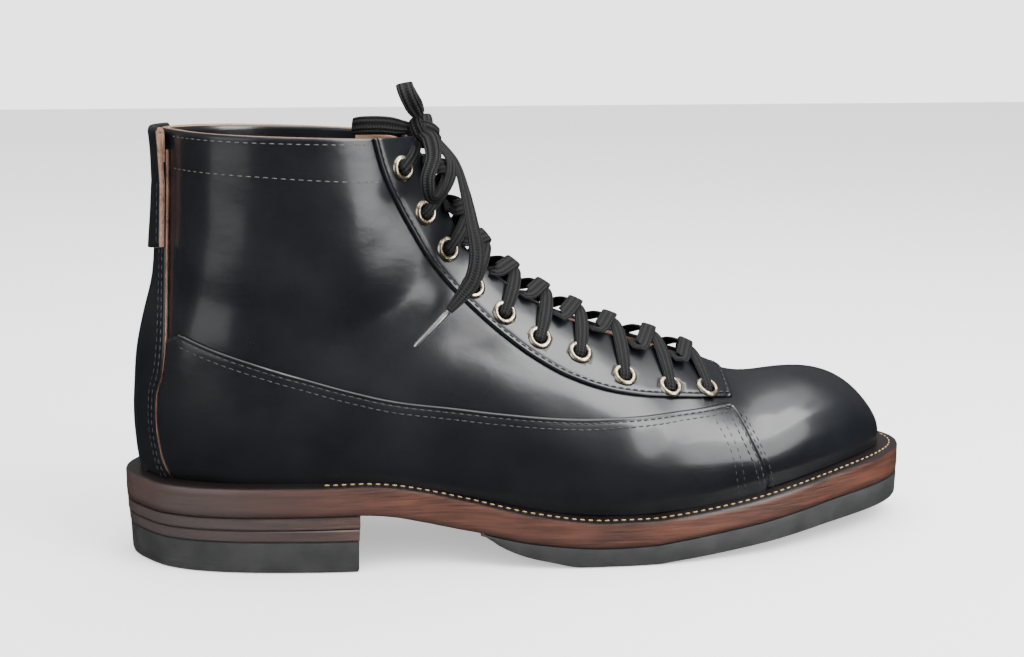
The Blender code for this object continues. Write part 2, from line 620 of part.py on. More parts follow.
def build():
    clear_scene()
    leather = material("black_leather", (0.012, 0.014, 0.018), 0.28)
    raw_edge = material("tan_raw_edge", (0.42, 0.24, 0.15), 0.75)
    sole_leather = material("sole_leather", (0.10, 0.028, 0.014), 0.42)
    stack_leather = material("stack_leather", (0.030, 0.022, 0.020), 0.50)
    rubber = material("black_rubber", (0.018, 0.018, 0.019), 0.70)
    brass = material("aged_brass", (0.45, 0.38, 0.28), 0.35, 1.0)
    cotton = material("black_cotton", (0.010, 0.010, 0.011), 0.85)
    plain = material("tan_insole", (0.50, 0.33, 0.21), 0.80)
    steel = material("aglet_metal", (0.62, 0.62, 0.60), 0.30, 1.0)

    # Sole layers, from the top down. Each starts one gap under the last.
    slab("welt", sole_leather, 0.0, OUTSOLE_LENGTH, seat, lambda x: seat(x) - WELT_THICKNESS,
         chamfer_top=EDGE_CHAMFER)
    slab("midsole", sole_leather, 0.0, OUTSOLE_LENGTH, lambda x: seat(x) - WELT_THICKNESS - GAP, border,
         chamfer_bottom=EDGE_CHAMFER)
    slab("half_sole", rubber, HALF_SOLE_START, OUTSOLE_LENGTH, lambda x: border(x) - GAP,
         ground, chamfer_bottom=EDGE_CHAMFER)
    heel_top = border(0.0) - GAP
    seam = (heel_top + HEEL_RUBBER + GAP) / 2
    draw = HEEL_TAPER / 3
    slab("heel_lift_1", stack_leather, 0.0, HEEL_BREAST, lambda x: border(x) - GAP, lambda x: seam + GAP / 2,
         taper=draw, flare=HEEL_FLARE / 2, steps=HEEL_STEPS)
    slab("heel_lift_2", stack_leather, 0.0, HEEL_BREAST, lambda x: seam - GAP / 2,
         lambda x: HEEL_RUBBER + GAP, grow=-draw, taper=draw, flare=HEEL_FLARE, steps=HEEL_STEPS)
    slab("heel_top_lift", rubber, 0.0, HEEL_BREAST, lambda x: HEEL_RUBBER, lambda x: 0.0, flare=HEEL_FLARE,
         grow=-2 * draw, taper=draw, chamfer_bottom=EDGE_CHAMFER, steps=HEEL_STEPS)

    insole(plain)

    # Upper: one hollow sheet, open below, at the throat and at the collar.
    upper = ply("upper", leather, 0.0, COLLAR_ROW, lambda u: 0.0, throat_step, 0.0, -UPPER_WALL)

    # Side panels around the foot, from the toe seam to the back stay.
    for side, word in ((-1, "outer"), (1, "inner")):
        grid = side_grid(side, rows_between(FOXING_TOE_ROW, PANEL_LAST_ROW), panel_low, panel_high)
        finish(shell(sheet([(grid, side > 0)]), PLY_GAP, PANEL_THICKNESS), "side_panel_" + word, leather)

    # Eyestay: a U around the throat. Back stay: a strip over the back seam, from collar to welt.
    eyestay = ply("eyestay", leather, EYESTAY_ROW, COLLAR_ROW, eyestay_step, throat_step, PLY_GAP,
                  PANEL_THICKNESS)
    ply("back_stay", leather, STAY_FOOT_ROW, STAY_TOP_ROW, lambda u: 0.0, lambda u, side: stay_step(u),
        PLY_GAP, STAY_THICKNESS)

    tongue(leather)
    pull_loop(raw_edge)
    holes_and_eyelets(upper, eyestay, brass)
    lace_crossings(cotton)
    bow(cotton, steel)
    move_to_origin()


def insole(mat):
    """A plate that lies on the welt inside the upper."""
    steps = 26
    inset = UPPER_WALL + INSOLE_CLEARANCE
    bm = bmesh.new()
    levels = []
    for up in (GAP, GAP + INSOLE_THICKNESS):
        ring = []
        for i in range(steps + 1):
            x = HEEL_TIP + inset + (TOE_TIP - HEEL_TIP - 2 * inset) * (1 - math.cos(math.pi * i / steps)) / 2
            z = seat(x) + up
            pair = []
            for side in (-1, 1):
                width = max(inset_width(x, side, inset), 0.0)
                pair.append(bm.verts.new((x, middle(x) + side * width, z)))
            ring.append(pair)
        levels.append(ring)
    low, high = levels
    for ring in levels:
        for (a, b), (c, d) in zip(ring, ring[1:]):
            bm.faces.new((a, c, d, b))
    for i in range(steps):
        for s in (0, 1):
            bm.faces.new((low[i][s], low[i + 1][s], high[i + 1][s], high[i][s]))
    return finish(bm, "insole", mat)


def inset_width(x, side, inset):
    """Half width of the plan drawn in by a clearance all round."""
    stretch = (TOE_TIP - HEEL_TIP) / (TOE_TIP - HEEL_TIP - 2 * inset)
    own = HEEL_TIP + (x - HEEL_TIP - inset) * stretch
    return plan_at(own, side) - inset * math.sin(plan_angle(own)) ** 0.5


def tongue(mat):
    """A sheet under the throat, sewn to the vamp's inside at its foot and free up to the collar."""
    rows = [8.1, 8.4, 8.8, 9.2, 9.8, 10.4, 11.0, 11.6, 12.2, 12.8, 13.4, 14.2, 15.0, 16.0, 17.0, 18.2, 19.4,
            20.6, 21.8, 23.0, 24.0]
    grids = []
    for side in (-1, 1):
        grid = []
        for u in rows:
            widening = min(max((u - THROAT_ROW) / TONGUE_WIDENS, 0.0), 1.0)
            half = TONGUE_FOOT_HALF + (TONGUE_HALF - TONGUE_FOOT_HALF) * widening
            start = bisect(lambda s: half_width(u, climb(u, s), side) < half, 0.5, 1.0)
            sewn = TONGUE_DROP - 2 * GAP if u < TONGUE_SEWN_ROW else 0.0
            row = []
            for share in (0, 0.25, 0.5, 0.75, 1.0):
                s = start + (1 - start) * share
                out = outward(u, min(s, 0.98), side)
                if share == 1.0:
                    out.y = 0
                row.append(fan(u, s, side) + out.normalized() * sewn)
            grid.append(row)
        grids.append((grid, side > 0))
    lift = -(UPPER_WALL + TONGUE_DROP)
    return finish(shell(sheet(grids), lift, -TONGUE_WALL), "tongue", mat)


LOOP_ROWS = (LOOP_FOOT_ROW, 22.6, LOOP_SEWN_ROW, STAY_TOP_ROW, 23.5, LOOP_TOP_ROW)
LOOP_COLUMNS = 5


def pull_loop(mat):
    """The back stay's strap turned over at its top: a fold, and a leg that hangs down outside the stay."""
    layer = PLY_GAP + STAY_THICKNESS
    path = []
    for u in LOOP_ROWS:
        opening = min(max((u - LOOP_SEWN_ROW) / (LOOP_TOP_ROW - LOOP_SEWN_ROW), 0.0), 1.0)
        path.append((u, layer + 2 * GAP + LOOP_STANDOFF * opening))
    path.append((LOOP_TOP_ROW + 0.08, layer + (GAP + LOOP_STANDOFF) / 2))
    path.append((LOOP_TOP_ROW, layer))
    path.append((STAY_TOP_ROW + 0.1, layer))
    grids = []
    for side in (-1, 1):
        grid = []
        for u, reach in path:
            steps = [min(s, stay_step(u)) for s in STEPS[:LOOP_COLUMNS]]
            grid.append([fan(u, s, side) + outward(u, s, side) * reach for s in steps])
        grids.append((grid, side > 0))
    return finish(shell(sheet(grids), 0.0, STAY_THICKNESS), "pull_loop", mat)


def outward(u, s, side):
    """Outward normal at a point of the upper."""
    a = fan(u + 0.02, s, side) - fan(u - 0.02, s, side)
    if s < 0.01:
        return Vector((-a.z, 0, a.x)).normalized()
    b = fan(u, s + 0.01, side) - fan(u, s - 0.01, side)
    normal = a.cross(b).normalized()
    return normal if normal.y * side > 0 else -normal


def eyelet_places():
    out = []
    for side, word in ((-1, "outer"), (1, "inner")):
        for number, spot in enumerate(EYELETS, 1):
            u, s = locate(spot.along * OUTSOLE_LENGTH, spot.up * COLLAR_HEIGHT)
            out.append((word, number, fan(u, s, side), outward(u, s, side)))
    return out


def turned(profile, sides):
    """A ring turned from a closed profile of (radius, height) points."""
    bm = bmesh.new()
    ring = [bm.verts.new((r, 0, z)) for r, z in profile]
    edges = [bm.edges.new((ring[i], ring[(i + 1) % len(ring)])) for i in range(len(ring))]
    bmesh.ops.spin(bm, geom=ring + edges, cent=(0, 0, 0), axis=(0, 0, 1), angle=2 * math.pi, steps=sides,
                   use_duplicate=False, use_merge=True)
    bmesh.ops.remove_doubles(bm, verts=bm.verts, dist=0.000002)
    return bm


def holes_and_eyelets(upper, eyestay, mat):
    """Holes through eyestay and upper, and a turned eyelet in each."""
    face = PLY_GAP + PANEL_THICKNESS
    hole = (EYELET_BARREL + GAP) / math.cos(math.pi / HOLE_SIDES)
    cutter_mesh = bpy.data.meshes.new("eyelet_cutter")
    cut = bmesh.new()
    places = eyelet_places()
    for word, number, spot, normal in places:
        turn = normal.to_track_quat("Z", "Y").to_matrix().to_4x4()
        where = Matrix.Translation(spot + normal * (face - 0.5 * (face + UPPER_WALL)))
        bmesh.ops.create_cone(cut, cap_ends=True, segments=HOLE_SIDES, radius1=hole, radius2=hole,
                              depth=3 * (face + UPPER_WALL), matrix=where @ turn)
    cut.to_mesh(cutter_mesh)
    cut.free()
    cutter = bpy.data.objects.new("eyelet_cutter", cutter_mesh)
    scene.collection.objects.link(cutter)
    cutter.hide_render = True
    cutter.display_type = "WIRE"
    for target in (upper, eyestay):
        boolean = target.modifiers.new("holes", "BOOLEAN")
        boolean.operation = "DIFFERENCE"
        boolean.object = cutter
        boolean.solver = "EXACT"
    low = -(face + UPPER_WALL + GAP)
    profile = ((EYELET_HOLE, EYELET_DOME * 0.6), ((EYELET_HOLE + EYELET_OUTER) / 2, EYELET_DOME),
               (EYELET_OUTER, GAP), (EYELET_BARREL, GAP), (EYELET_BARREL, low), (EYELET_HOLE, low))
    mesh = bpy.data.meshes.new("eyelet")
    bm = turned(profile, EYELET_SIDES)
    bmesh.ops.recalc_face_normals(bm, faces=bm.faces)
    if bm.calc_volume(signed=True) < 0:
        bmesh.ops.reverse_faces(bm, faces=bm.faces)
    bm.to_mesh(mesh)
    bm.free()
    mesh.shade_smooth()
    mesh.set_sharp_from_angle(angle=math.radians(40))
    mesh.materials.append(mat)
    for word, number, spot, normal in places:
        obj = bpy.data.objects.new("eyelet_%s_%02d" % (word, number), mesh)
        scene.collection.objects.link(obj)
        obj.matrix_world = (Matrix.Translation(spot + normal * face)
                            @ normal.to_track_quat("Z", "Y").to_matrix().to_4x4())


def lace_spots():
    """Where the lace passes over each eyelet row: per side from the top pair down, with normals."""
    face = PLY_GAP + PANEL_THICKNESS
    over_eyelet = face + EYELET_DOME + 3 * GAP + LACE_THICKNESS / 2
    spots = {}
    for side in (-1, 1):
        for number, spot in enumerate(EYELETS):
            u, s = locate(spot.along * OUTSOLE_LENGTH, spot.up * COLLAR_HEIGHT)
            normal = outward(u, s, side)
            edge = throat_step(u, side)
            rim = outward(u, edge - 0.01, side)
            over_edge = over_eyelet if number == 0 else over_eyelet - 2 * GAP
            spots[side, number] = (u, fan(u, s, side) + normal * over_eyelet, normal,
                                   fan(u, edge, side) + rim * over_edge, rim)
    return spots


def ribbon(points, normals, width, thickness):
    """A flat band through points, its face along normals."""
    bm = bmesh.new()
    sections = []
    for i, p in enumerate(points):
        a = points[max(i - 1, 0)]
        b = points[min(i + 1, len(points) - 1)]
        along = (b - a).normalized()
        across = along.cross(normals[i]).normalized() * width / 2
        up = across.cross(along).normalized() * thickness / 2
        corners = ((-1, -1), (1, -1), (1, 1), (-1, 1))
        sections.append([bm.verts.new(p + across * x + up * y) for x, y in corners])
    for a, b in zip(sections, sections[1:]):
        for i in range(4):
            j = (i + 1) % 4
            bm.faces.new((a[i], a[j], b[j], b[i]))
    bm.faces.new(sections[0])
    bm.faces.new(sections[-1][::-1])
    return bm


def lace_crossings(mat):
    """The lace over the throat as one solid: a bar into each pair of eyelets, joined along the middle."""
    spots = lace_spots()
    face = PLY_GAP + PANEL_THICKNESS
    bars = bmesh.new()
    spine = []
    spine_normals = []
    for number in range(len(EYELETS) - 1, -1, -1):
        u = spots[1, number][0]
        if number:
            v = u + (spots[1, number - 1][0] - u) * CROSSING_SHARE
            crest = outward(v, 0.985, 1)
            crest.y = 0
            crest.normalize()
            base = fan(v, 1.0, 1)
        else:
            crest = Vector((1, 0, 0))
            base = Vector(KNOT) - Vector((face, 0, KNOT_SIZE[2] + LACE_WIDTH / 2 + 2 * GAP))
        # The bars sink a little between the eyestay's edges, but not at the ends of the throat.
        sink = 0.5 if 0 < number < len(EYELETS) - 1 else 1.0
        top = base + crest * (face + LACE_THICKNESS) * sink
        spine.append(top - crest * LACE_THICKNESS * 0.6)
        spine_normals.append(crest)
        if number == len(EYELETS) - 1:
            spine.insert(0, fan(u, 1.0, 1) + crest * (face + LACE_THICKNESS))
            spine_normals.insert(0, crest)
        outer = spots[-1, number]
        inner = spots[1, number]
        points = [outer[1], outer[3], top, inner[3], inner[1]]
        normals = [outer[2], outer[4], crest, inner[4], inner[2]]
        bar = ribbon(points, normals, LACE_WIDTH, LACE_THICKNESS)
        mesh = bpy.data.meshes.new("lace_bar")
        bar.to_mesh(mesh)
        bar.free()
        bars.from_mesh(mesh)
    other = finish(bars, "lace_bars", mat)
    other.hide_render = True
    other.display_type = "WIRE"
    whole = finish(ribbon(spine, spine_normals, LACE_WIDTH * 0.8, LACE_THICKNESS), "lace_crossings", mat)
    join = whole.modifiers.new("join", "BOOLEAN")
    join.operation = "UNION"
    join.object = other
    join.solver = "MANIFOLD"


def cord(name, mat, route, radius):
    """A tube along a smooth curve through the route's points."""
    points = [Vector(p) for p in route]
    steps = 0.0
    keys = [0.0]
    for a, b in zip(points, points[1:]):
        steps += (b - a).length
        keys.append(steps)
    axes = [through(keys, [p[i] for p in points]) for i in range(3)]
    count = max(int(steps / (radius * 5)) + 1, 6)
    curve = bpy.data.curves.new(name, "CURVE")
    curve.dimensions = "3D"
    spline = curve.splines.new("POLY")
    spline.points.add(count - 1)
    for i in range(count):
        key = steps * i / (count - 1)
        spline.points[i].co = (axes[0](key), axes[1](key), axes[2](key), 1.0)
    curve.bevel_depth = radius
    curve.bevel_resolution = 2
    curve.use_fill_caps = True
    curve.materials.append(mat)
    obj = bpy.data.objects.new(name, curve)
    scene.collection.objects.link(obj)
    return obj


def by_knot(point):
    """The point drawn in to just outside the knot."""
    away = (Vector(point) - Vector(KNOT)).normalized()
    reach = 1 / math.sqrt(sum((away[i] / KNOT_SIZE[i]) ** 2 for i in range(3)))
    return Vector(KNOT) + away * (reach + 2 * GAP)


def bow(mat, tip_mat):
    """Knot, three loops, and the long free end with its aglet."""
    bm = bmesh.new()
    bmesh.ops.create_uvsphere(bm, u_segments=12, v_segments=8, radius=1.0)
    bmesh.ops.scale(bm, vec=KNOT_SIZE, verts=bm.verts)
    bmesh.ops.translate(bm, vec=KNOT, verts=bm.verts)
    finish(bm, "lace_knot", mat)
    for name, route in LACE_ROUTES:
        last = by_knot(route[-1]) if "loop" in name else route[-1]
        cord(name, mat, (by_knot(route[0]), *route[1:-1], last), LACE_CORD / 2)
    a, b = Vector(LACE_ROUTES[-1][1][-2]), Vector(LACE_ROUTES[-1][1][-1])
    along = Vector(AGLET_AIM).normalized()
    start = b + (b - a).normalized() * GAP * 2
    cord("aglet", tip_mat, (start, start + along * AGLET_LENGTH / 2, start + along * AGLET_LENGTH),
         AGLET_WIDTH / 2)


def move_to_origin():
    for obj in scene.objects:
        obj.location.x -= HEEL_BREAST / 2
    bpy.context.view_layer.update()


build()
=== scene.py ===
import math
from collections import namedtuple

import bmesh
import bpy
import numpy as np
from mathutils import Matrix, Vector


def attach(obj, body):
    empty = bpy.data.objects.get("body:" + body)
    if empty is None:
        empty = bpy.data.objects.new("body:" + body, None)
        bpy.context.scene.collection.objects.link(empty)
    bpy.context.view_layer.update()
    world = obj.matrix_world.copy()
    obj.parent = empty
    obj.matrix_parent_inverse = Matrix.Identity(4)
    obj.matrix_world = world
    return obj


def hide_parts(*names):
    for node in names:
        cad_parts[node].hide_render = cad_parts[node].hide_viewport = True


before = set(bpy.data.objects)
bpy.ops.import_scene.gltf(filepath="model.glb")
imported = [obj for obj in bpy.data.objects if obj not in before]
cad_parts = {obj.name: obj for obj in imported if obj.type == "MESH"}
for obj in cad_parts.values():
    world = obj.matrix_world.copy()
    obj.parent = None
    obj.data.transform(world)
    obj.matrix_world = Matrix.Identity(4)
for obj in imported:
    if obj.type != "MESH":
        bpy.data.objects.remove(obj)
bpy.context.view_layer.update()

# Camera: stands on the boot's outer side, a little above it and turned slightly toward the toe.
camera_data = bpy.data.cameras.new("camera")
camera_data.sensor_width = 36.0
camera_data.lens = 49.70
camera = bpy.data.objects.new("camera", camera_data)
bpy.context.scene.collection.objects.link(camera)
camera.location = (0.03322, -0.53718, 0.19876)
camera.rotation_euler = Vector((0.1310, 0.9688, -0.2103)).to_track_quat("-Z", "Y").to_euler()
bpy.context.scene.camera = camera


# Bow: a flat woven cotton lace, waxed, 6.4 mm wide. It is tied over the top pair of eyelets in a knot
# with three loops, and one long end hangs down over the fourth eyelet with a bare metal tag on it.
class Shade:
    """One socket of a finish; sums and products of it add Math nodes."""

    def __init__(self, finish, socket):
        self.finish = finish
        self.socket = socket

    def math(self, operation, *values):
        return self.finish.node("ShaderNodeMath", {"operation": operation}, dict(enumerate(values)))

    def __add__(self, other):
        return self.math("ADD", self, other)

    def __sub__(self, other):
        return self.math("SUBTRACT", self, other)

    def __rsub__(self, other):
        return self.math("SUBTRACT", other, self)

    def __mul__(self, other):
        return self.math("MULTIPLY", self, other)

    __radd__ = __add__
    __rmul__ = __mul__


class Finish:
    """A material built up node by node."""

    def __init__(self, name, **fixed):
        self.material = bpy.data.materials.new(name)
        self.material.use_nodes = True
        self.tree = self.material.node_tree
        self.shader = self.tree.nodes["Principled BSDF"]
        for socket, value in fixed.items():
            self.shader.inputs[socket.replace("_", " ")].default_value = value

    def put(self, socket, value):
        if isinstance(value, Shade):
            self.tree.links.new(value.socket, socket)
        else:
            socket.default_value = value

    def node(self, kind, settings, sockets, out=0):
        node = self.tree.nodes.new(kind)
        for key, value in settings.items():
            setattr(node, key, value)
        for key, value in sockets.items():
            self.put(node.inputs[key], value)
        return Shade(self, node.outputs[out])

    def set(self, socket, value):
        self.put(self.shader.inputs[socket], value)

    def mix(self, share, a, b):
        a, b = [(*c, 1.0) if isinstance(c, tuple) and len(c) == 3 else c for c in (a, b)]
        return self.node("ShaderNodeMix", {"data_type": "RGBA"}, {0: share, 6: a, 7: b}, 2)

    def ramp(self, share, low, high):
        """0 below low, 1 above high, straight between."""
        return self.node("ShaderNodeMapRange", {}, {0: share, 1: low, 2: high, 3: 0.0, 4: 1.0})

    def tint(self, height, low, high, dark, light):
        """Color it dark where height is below low, light above high, and between them a mixture."""
        self.set("Base Color", self.mix(self.ramp(height, low, high), dark, light))

    def noise(self, size, detail=3.0, stretch=(1, 1, 1), rough=0.55):
        """Noise with spots of this size in metres, drawn out along the axes by stretch."""
        where = self.node("ShaderNodeTexCoord", {}, {}, 3)
        scale = tuple(1 / (size * s) for s in stretch)
        placed = self.node("ShaderNodeMapping", {}, {"Vector": where, "Scale": scale})
        return self.node("ShaderNodeTexNoise", {}, {"Vector": placed, "Scale": 1.0, "Detail": detail,
                                                    "Roughness": rough})

    def bump(self, height, depth, strength=1.0):
        self.set("Normal", self.node("ShaderNodeBump", {}, {"Strength": strength, "Distance": depth,
                                                            "Height": height}))


LACE_WIDTH = 0.0064
LACE_THICKNESS = 0.0013
LACE_RIBS = 10

lace_finish = Finish("woven_lace", Roughness=0.75, Specular_IOR_Level=0.3)
lace_along = lace_finish.node("ShaderNodeUVMap", {"uv_map": "UVMap"}, {})
lace_u = lace_finish.node("ShaderNodeSeparateXYZ", {}, {0: lace_along}, 0)
lace_v = lace_finish.node("ShaderNodeSeparateXYZ", {}, {0: lace_along}, 1)
rib = (lace_v * (2 * math.pi * LACE_RIBS)).math("COSINE", lace_v * (2 * math.pi * LACE_RIBS)) * 0.5 + 0.5
slant = lace_u * (2 * math.pi / 0.0011) + rib * 2.0
weft = slant.math("SINE", slant) * 0.5 + 0.5
fluff = lace_finish.noise(0.0004, 4.0)
lace_height = rib * 0.75 + weft * 0.25 + fluff * 0.15
lace_finish.bump(lace_height, 0.00050, 1.0)
# Painted shade: the lace's colour follows its weave's height, near black down in the grooves and lighter on
# the raised ribs, with a little random fibre tone.
lace_finish.tint(lace_height, 0.15, 1.0, (0.0012, 0.0012, 0.0014), (0.0115, 0.0115, 0.0125))


def soft_line(points, count):
    """A smooth line of count points through a few points, evenly spaced."""
    points = np.array(points, float)
    ends = np.vstack([2 * points[0] - points[1], points, 2 * points[-1] - points[-2]])
    fine = []
    for i in range(len(points) - 1):
        p0, p1, p2, p3 = ends[i:i + 4]
        for t in np.linspace(0, 1, 24, endpoint=False):
            fine.append(0.5 * (2 * p1 + (p2 - p0) * t + (2 * p0 - 5 * p1 + 4 * p2 - p3) * t * t
                               + (3 * p1 - p0 - 3 * p2 + p3) * t ** 3))
    fine = np.array(fine + [points[-1]])
    run = np.r_[0, np.cumsum(np.linalg.norm(np.diff(fine[:, :3], axis=0), axis=1))]
    even = np.linspace(0, run[-1], count)
    return np.stack([np.interp(even, run, fine[:, k]) for k in range(fine.shape[1])], 1)


def lay_grid(bm, points):
    """Lay a grid of faces on an array of points; gives each vertex with its row and column."""
    rows, columns = points.shape[0] - 1, points.shape[1] - 1
    laid = []
    for v in bmesh.ops.create_grid(bm, x_segments=columns, y_segments=rows, size=0.5)["verts"]:
        r, c = round((v.co.y + 0.5) * rows), round((v.co.x + 0.5) * columns)
        v.co = points[r, c]
        laid.append((v, r, c))
    return laid


def flat_lace(bm, path, looks, widths, thickness=LACE_THICKNESS, around=14):
    """Sweep the lace's flat oval section along path; looks are the ways its flat side faces."""
    count = len(path)
    along = np.gradient(path, axis=0)
    along /= np.linalg.norm(along, axis=1)[:, None]
    across = np.cross(along, looks)
    across /= np.linalg.norm(across, axis=1)[:, None]
    up = np.cross(across, along)
    run = np.r_[0, np.cumsum(np.linalg.norm(np.diff(path, axis=0), axis=1))]
    angle = np.linspace(0, 2 * math.pi, around + 1)
    wide = np.sign(np.cos(angle)) * np.abs(np.cos(angle)) ** 0.75 * widths[:, None] / 2
    high = np.sign(np.sin(angle)) * np.abs(np.sin(angle)) ** 0.6 * thickness / 2
    section = across[:, None] * wide[..., None] + up[:, None] * high[:, None]
    uv = bm.loops.layers.uv.get("UVMap") or bm.loops.layers.uv.new("UVMap")
    turn = {v: (run[i], k / around) for v, i, k in lay_grid(bm, path[:, None] + section)}
    for face in {f for v in turn for f in v.link_faces}:
        for loop in face.loops:
            loop[uv].uv = turn[loop.vert]
    for i in (0, count - 1):
        rim = [v for v in turn if turn[v][0] == run[i]]
        middle_point = sum((v.co for v in rim), Vector()) / len(rim)
        rim.sort(key=lambda v: turn[v][1])
        centre = bm.verts.new(middle_point)
        for a, b in zip(rim, rim[1:]):
            face = bm.faces.new((a, b, centre))
            for loop in face.loops:
                loop[uv].uv = turn[a]
    bmesh.ops.remove_doubles(bm, verts=bm.verts, dist=0.000001)
    bmesh.ops.recalc_face_normals(bm, faces=bm.faces)


def place(name, bm, finishes, replaced=(), sharp=42, rides=True):
    """Make the mesh an object that rides on the boot."""
    mesh = bpy.data.meshes.new(name)
    bm.to_mesh(mesh)
    bm.free()
    mesh.shade_smooth()
    mesh.set_sharp_from_angle(angle=math.radians(sharp))
    for finish in finishes:
        mesh.materials.append(finish.material)
    obj = bpy.data.objects.new(name, mesh)
    bpy.context.scene.collection.objects.link(obj)
    if rides:
        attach(obj, "root")
    if replaced:
        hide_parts(*replaced)
    return obj


HEEL_MIDDLE = 0.0443
KNOT = Vector((0.1165 - HEEL_MIDDLE, -0.0020, 0.1595))
KNOT_SIZE = (0.0054, 0.0050, 0.0062)


def by_knot(point):
    """The point drawn in to just outside the knot."""
    away = (Vector(point) - Vector((HEEL_MIDDLE, 0, 0)) - KNOT).normalized()
    reach = 1 / math.sqrt(sum((away[i] / KNOT_SIZE[i]) ** 2 for i in range(3)))
    return KNOT + away * (reach + 0.0006)


Loop = namedtuple("Loop", "name far_end points looks")
LOOPS = (
    Loop("lace_loop_up", "knot",
         ((0.1140, -0.0055, 0.1665), (0.1112, -0.0072, 0.1710), (0.1095, -0.0062, 0.1752),
          (0.1093, -0.0025, 0.1770), (0.1102, 0.0008, 0.1748), (0.1126, 0.0010, 0.1705),
          (0.1148, 0.0000, 0.1675)),
         ((-0.3, -1, 0.1), (-0.3, -1, 0.1), (-0.2, -0.7, 0.7), (-0.2, 0.0, 1), (-0.1, 0.8, 0.5),
          (0.1, 1, 0), (0.1, 1, 0))),
    Loop("lace_loop_back", "knot",
         ((0.1090, -0.0030, 0.1610), (0.1020, -0.0020, 0.1620), (0.0940, 0.0000, 0.1620),
          (0.0902, 0.0034, 0.1612), (0.0930, 0.0068, 0.1608), (0.1010, 0.0066, 0.1608),
          (0.1095, 0.0040, 0.1610)),
         ((0, -1, 0.2), (0, -1, 0.2), (-0.4, -1, 0.2), (-1, -0.1, 0.1), (-0.4, 1, 0.2), (0, 1, 0.1),
          (0, 1, 0.1))),
    Loop("lace_loop_front", "knot",
         ((0.1155, -0.0095, 0.1592), (0.1176, -0.0165, 0.1578), (0.1180, -0.0260, 0.1520),
          (0.1152, -0.0338, 0.1445), (0.1165, -0.0374, 0.1380), (0.1208, -0.0345, 0.1400),
          (0.1248, -0.0225, 0.1490), (0.1205, -0.0090, 0.1560)),
         ((-0.4, -0.5, 1), (-0.4, -0.8, 0.8), (-0.5, -1, 0.5), (-0.7, -1, 0.1), (0, -0.6, -1),
          (0.8, -0.5, -0.3), (0.8, -0.6, 0.4), (0.6, -0.8, 0.5))),
    Loop("lace_end", "fitting",
         ((0.1230, -0.0035, 0.1555), (0.1278, -0.0080, 0.1480), (0.1303, -0.0165, 0.1385),
          (0.1320, -0.0250, 0.1270), (0.1332, -0.0300, 0.1165), (0.1310, -0.0330, 0.1075),
          (0.1262, -0.0350, 0.1015), (0.1222, -0.0370, 0.0975)),
         ((0.9, -0.5, 0.4), (0.9, -0.6, 0.3), (0.8, -0.9, 0.1), (0.5, -1, 0.1), (0.2, -1, 0.1),
          (0.0, -1, 0.2), (-0.1, -1, 0.3), (-0.1, -1, 0.3))),
)
AGLET_LENGTH = 0.0180
AGLET_WIDTH = 0.0026

aglet_finish = Finish("aglet_metal", Metallic=1.0)
aglet_finish.tint(aglet_finish.noise(0.002), 0.0, 1.0, (0.55, 0.55, 0.54), (0.72, 0.72, 0.70))
aglet_finish.set("Roughness", aglet_finish.noise(0.0007) * 0.15 + 0.24)

for loop in LOOPS:
    route = [Vector(p) - Vector((HEEL_MIDDLE, 0, 0)) for p in loop.points]
    route[0] = by_knot(loop.points[0])
    if loop.far_end == "knot":
        route[-1] = by_knot(loop.points[-1])
    count = 72
    line = soft_line([(*p, *Vector(n).normalized()) for p, n in zip(route, loop.looks)], count)
    share = np.linspace(0, 1, count)
    pinch = np.clip(np.minimum(share, 1 - share) / 0.16, 0, 1)
    widths = LACE_WIDTH * (0.62 + 0.38 * pinch * (2 - pinch))
    if loop.name == "lace_end":
        widths = np.interp(share, (0, 0.12, 0.86, 1.0), (0.0042, 0.0060, 0.0060, 0.0030))
    bm = bmesh.new()
    flat_lace(bm, line[:, :3], line[:, 3:], widths)
    piece = place(loop.name + "_woven", bm, [lace_finish], [loop.name])

# The metal tag is pressed round the lace's end.
aim = Vector((-0.0105, -0.0030, -0.0100)).normalized()
foot = route[-1] + (route[-1] - route[-2]).normalized() * 0.0006
bm = bmesh.new()
bmesh.ops.create_circle(bm, segments=16, radius=AGLET_WIDTH / 2, cap_ends=False,
                        matrix=Matrix.Translation(foot) @ aim.to_track_quat("Z", "Y").to_matrix().to_4x4())
rim = bm.edges[:]
for step, size in ((0.06, 0.86), (0.04, 1.1), (0.80, 0.97), (0.08, 0.7)):
    made = bmesh.ops.extrude_edge_only(bm, edges=rim)["geom"]
    rim = [e for e in made if isinstance(e, bmesh.types.BMEdge)]
    ring = [v for v in made if isinstance(v, bmesh.types.BMVert)]
    bmesh.ops.translate(bm, verts=ring, vec=aim * AGLET_LENGTH * step)
    middle_point = sum((v.co for v in ring), Vector()) / len(ring)
    bmesh.ops.scale(bm, verts=ring, vec=(size, size, size), space=Matrix.Translation(-middle_point))
bmesh.ops.holes_fill(bm, edges=bm.edges, sides=0)
bmesh.ops.recalc_face_normals(bm, faces=bm.faces)
aglet = place("aglet_tag", bm, [aglet_finish], ["aglet"])

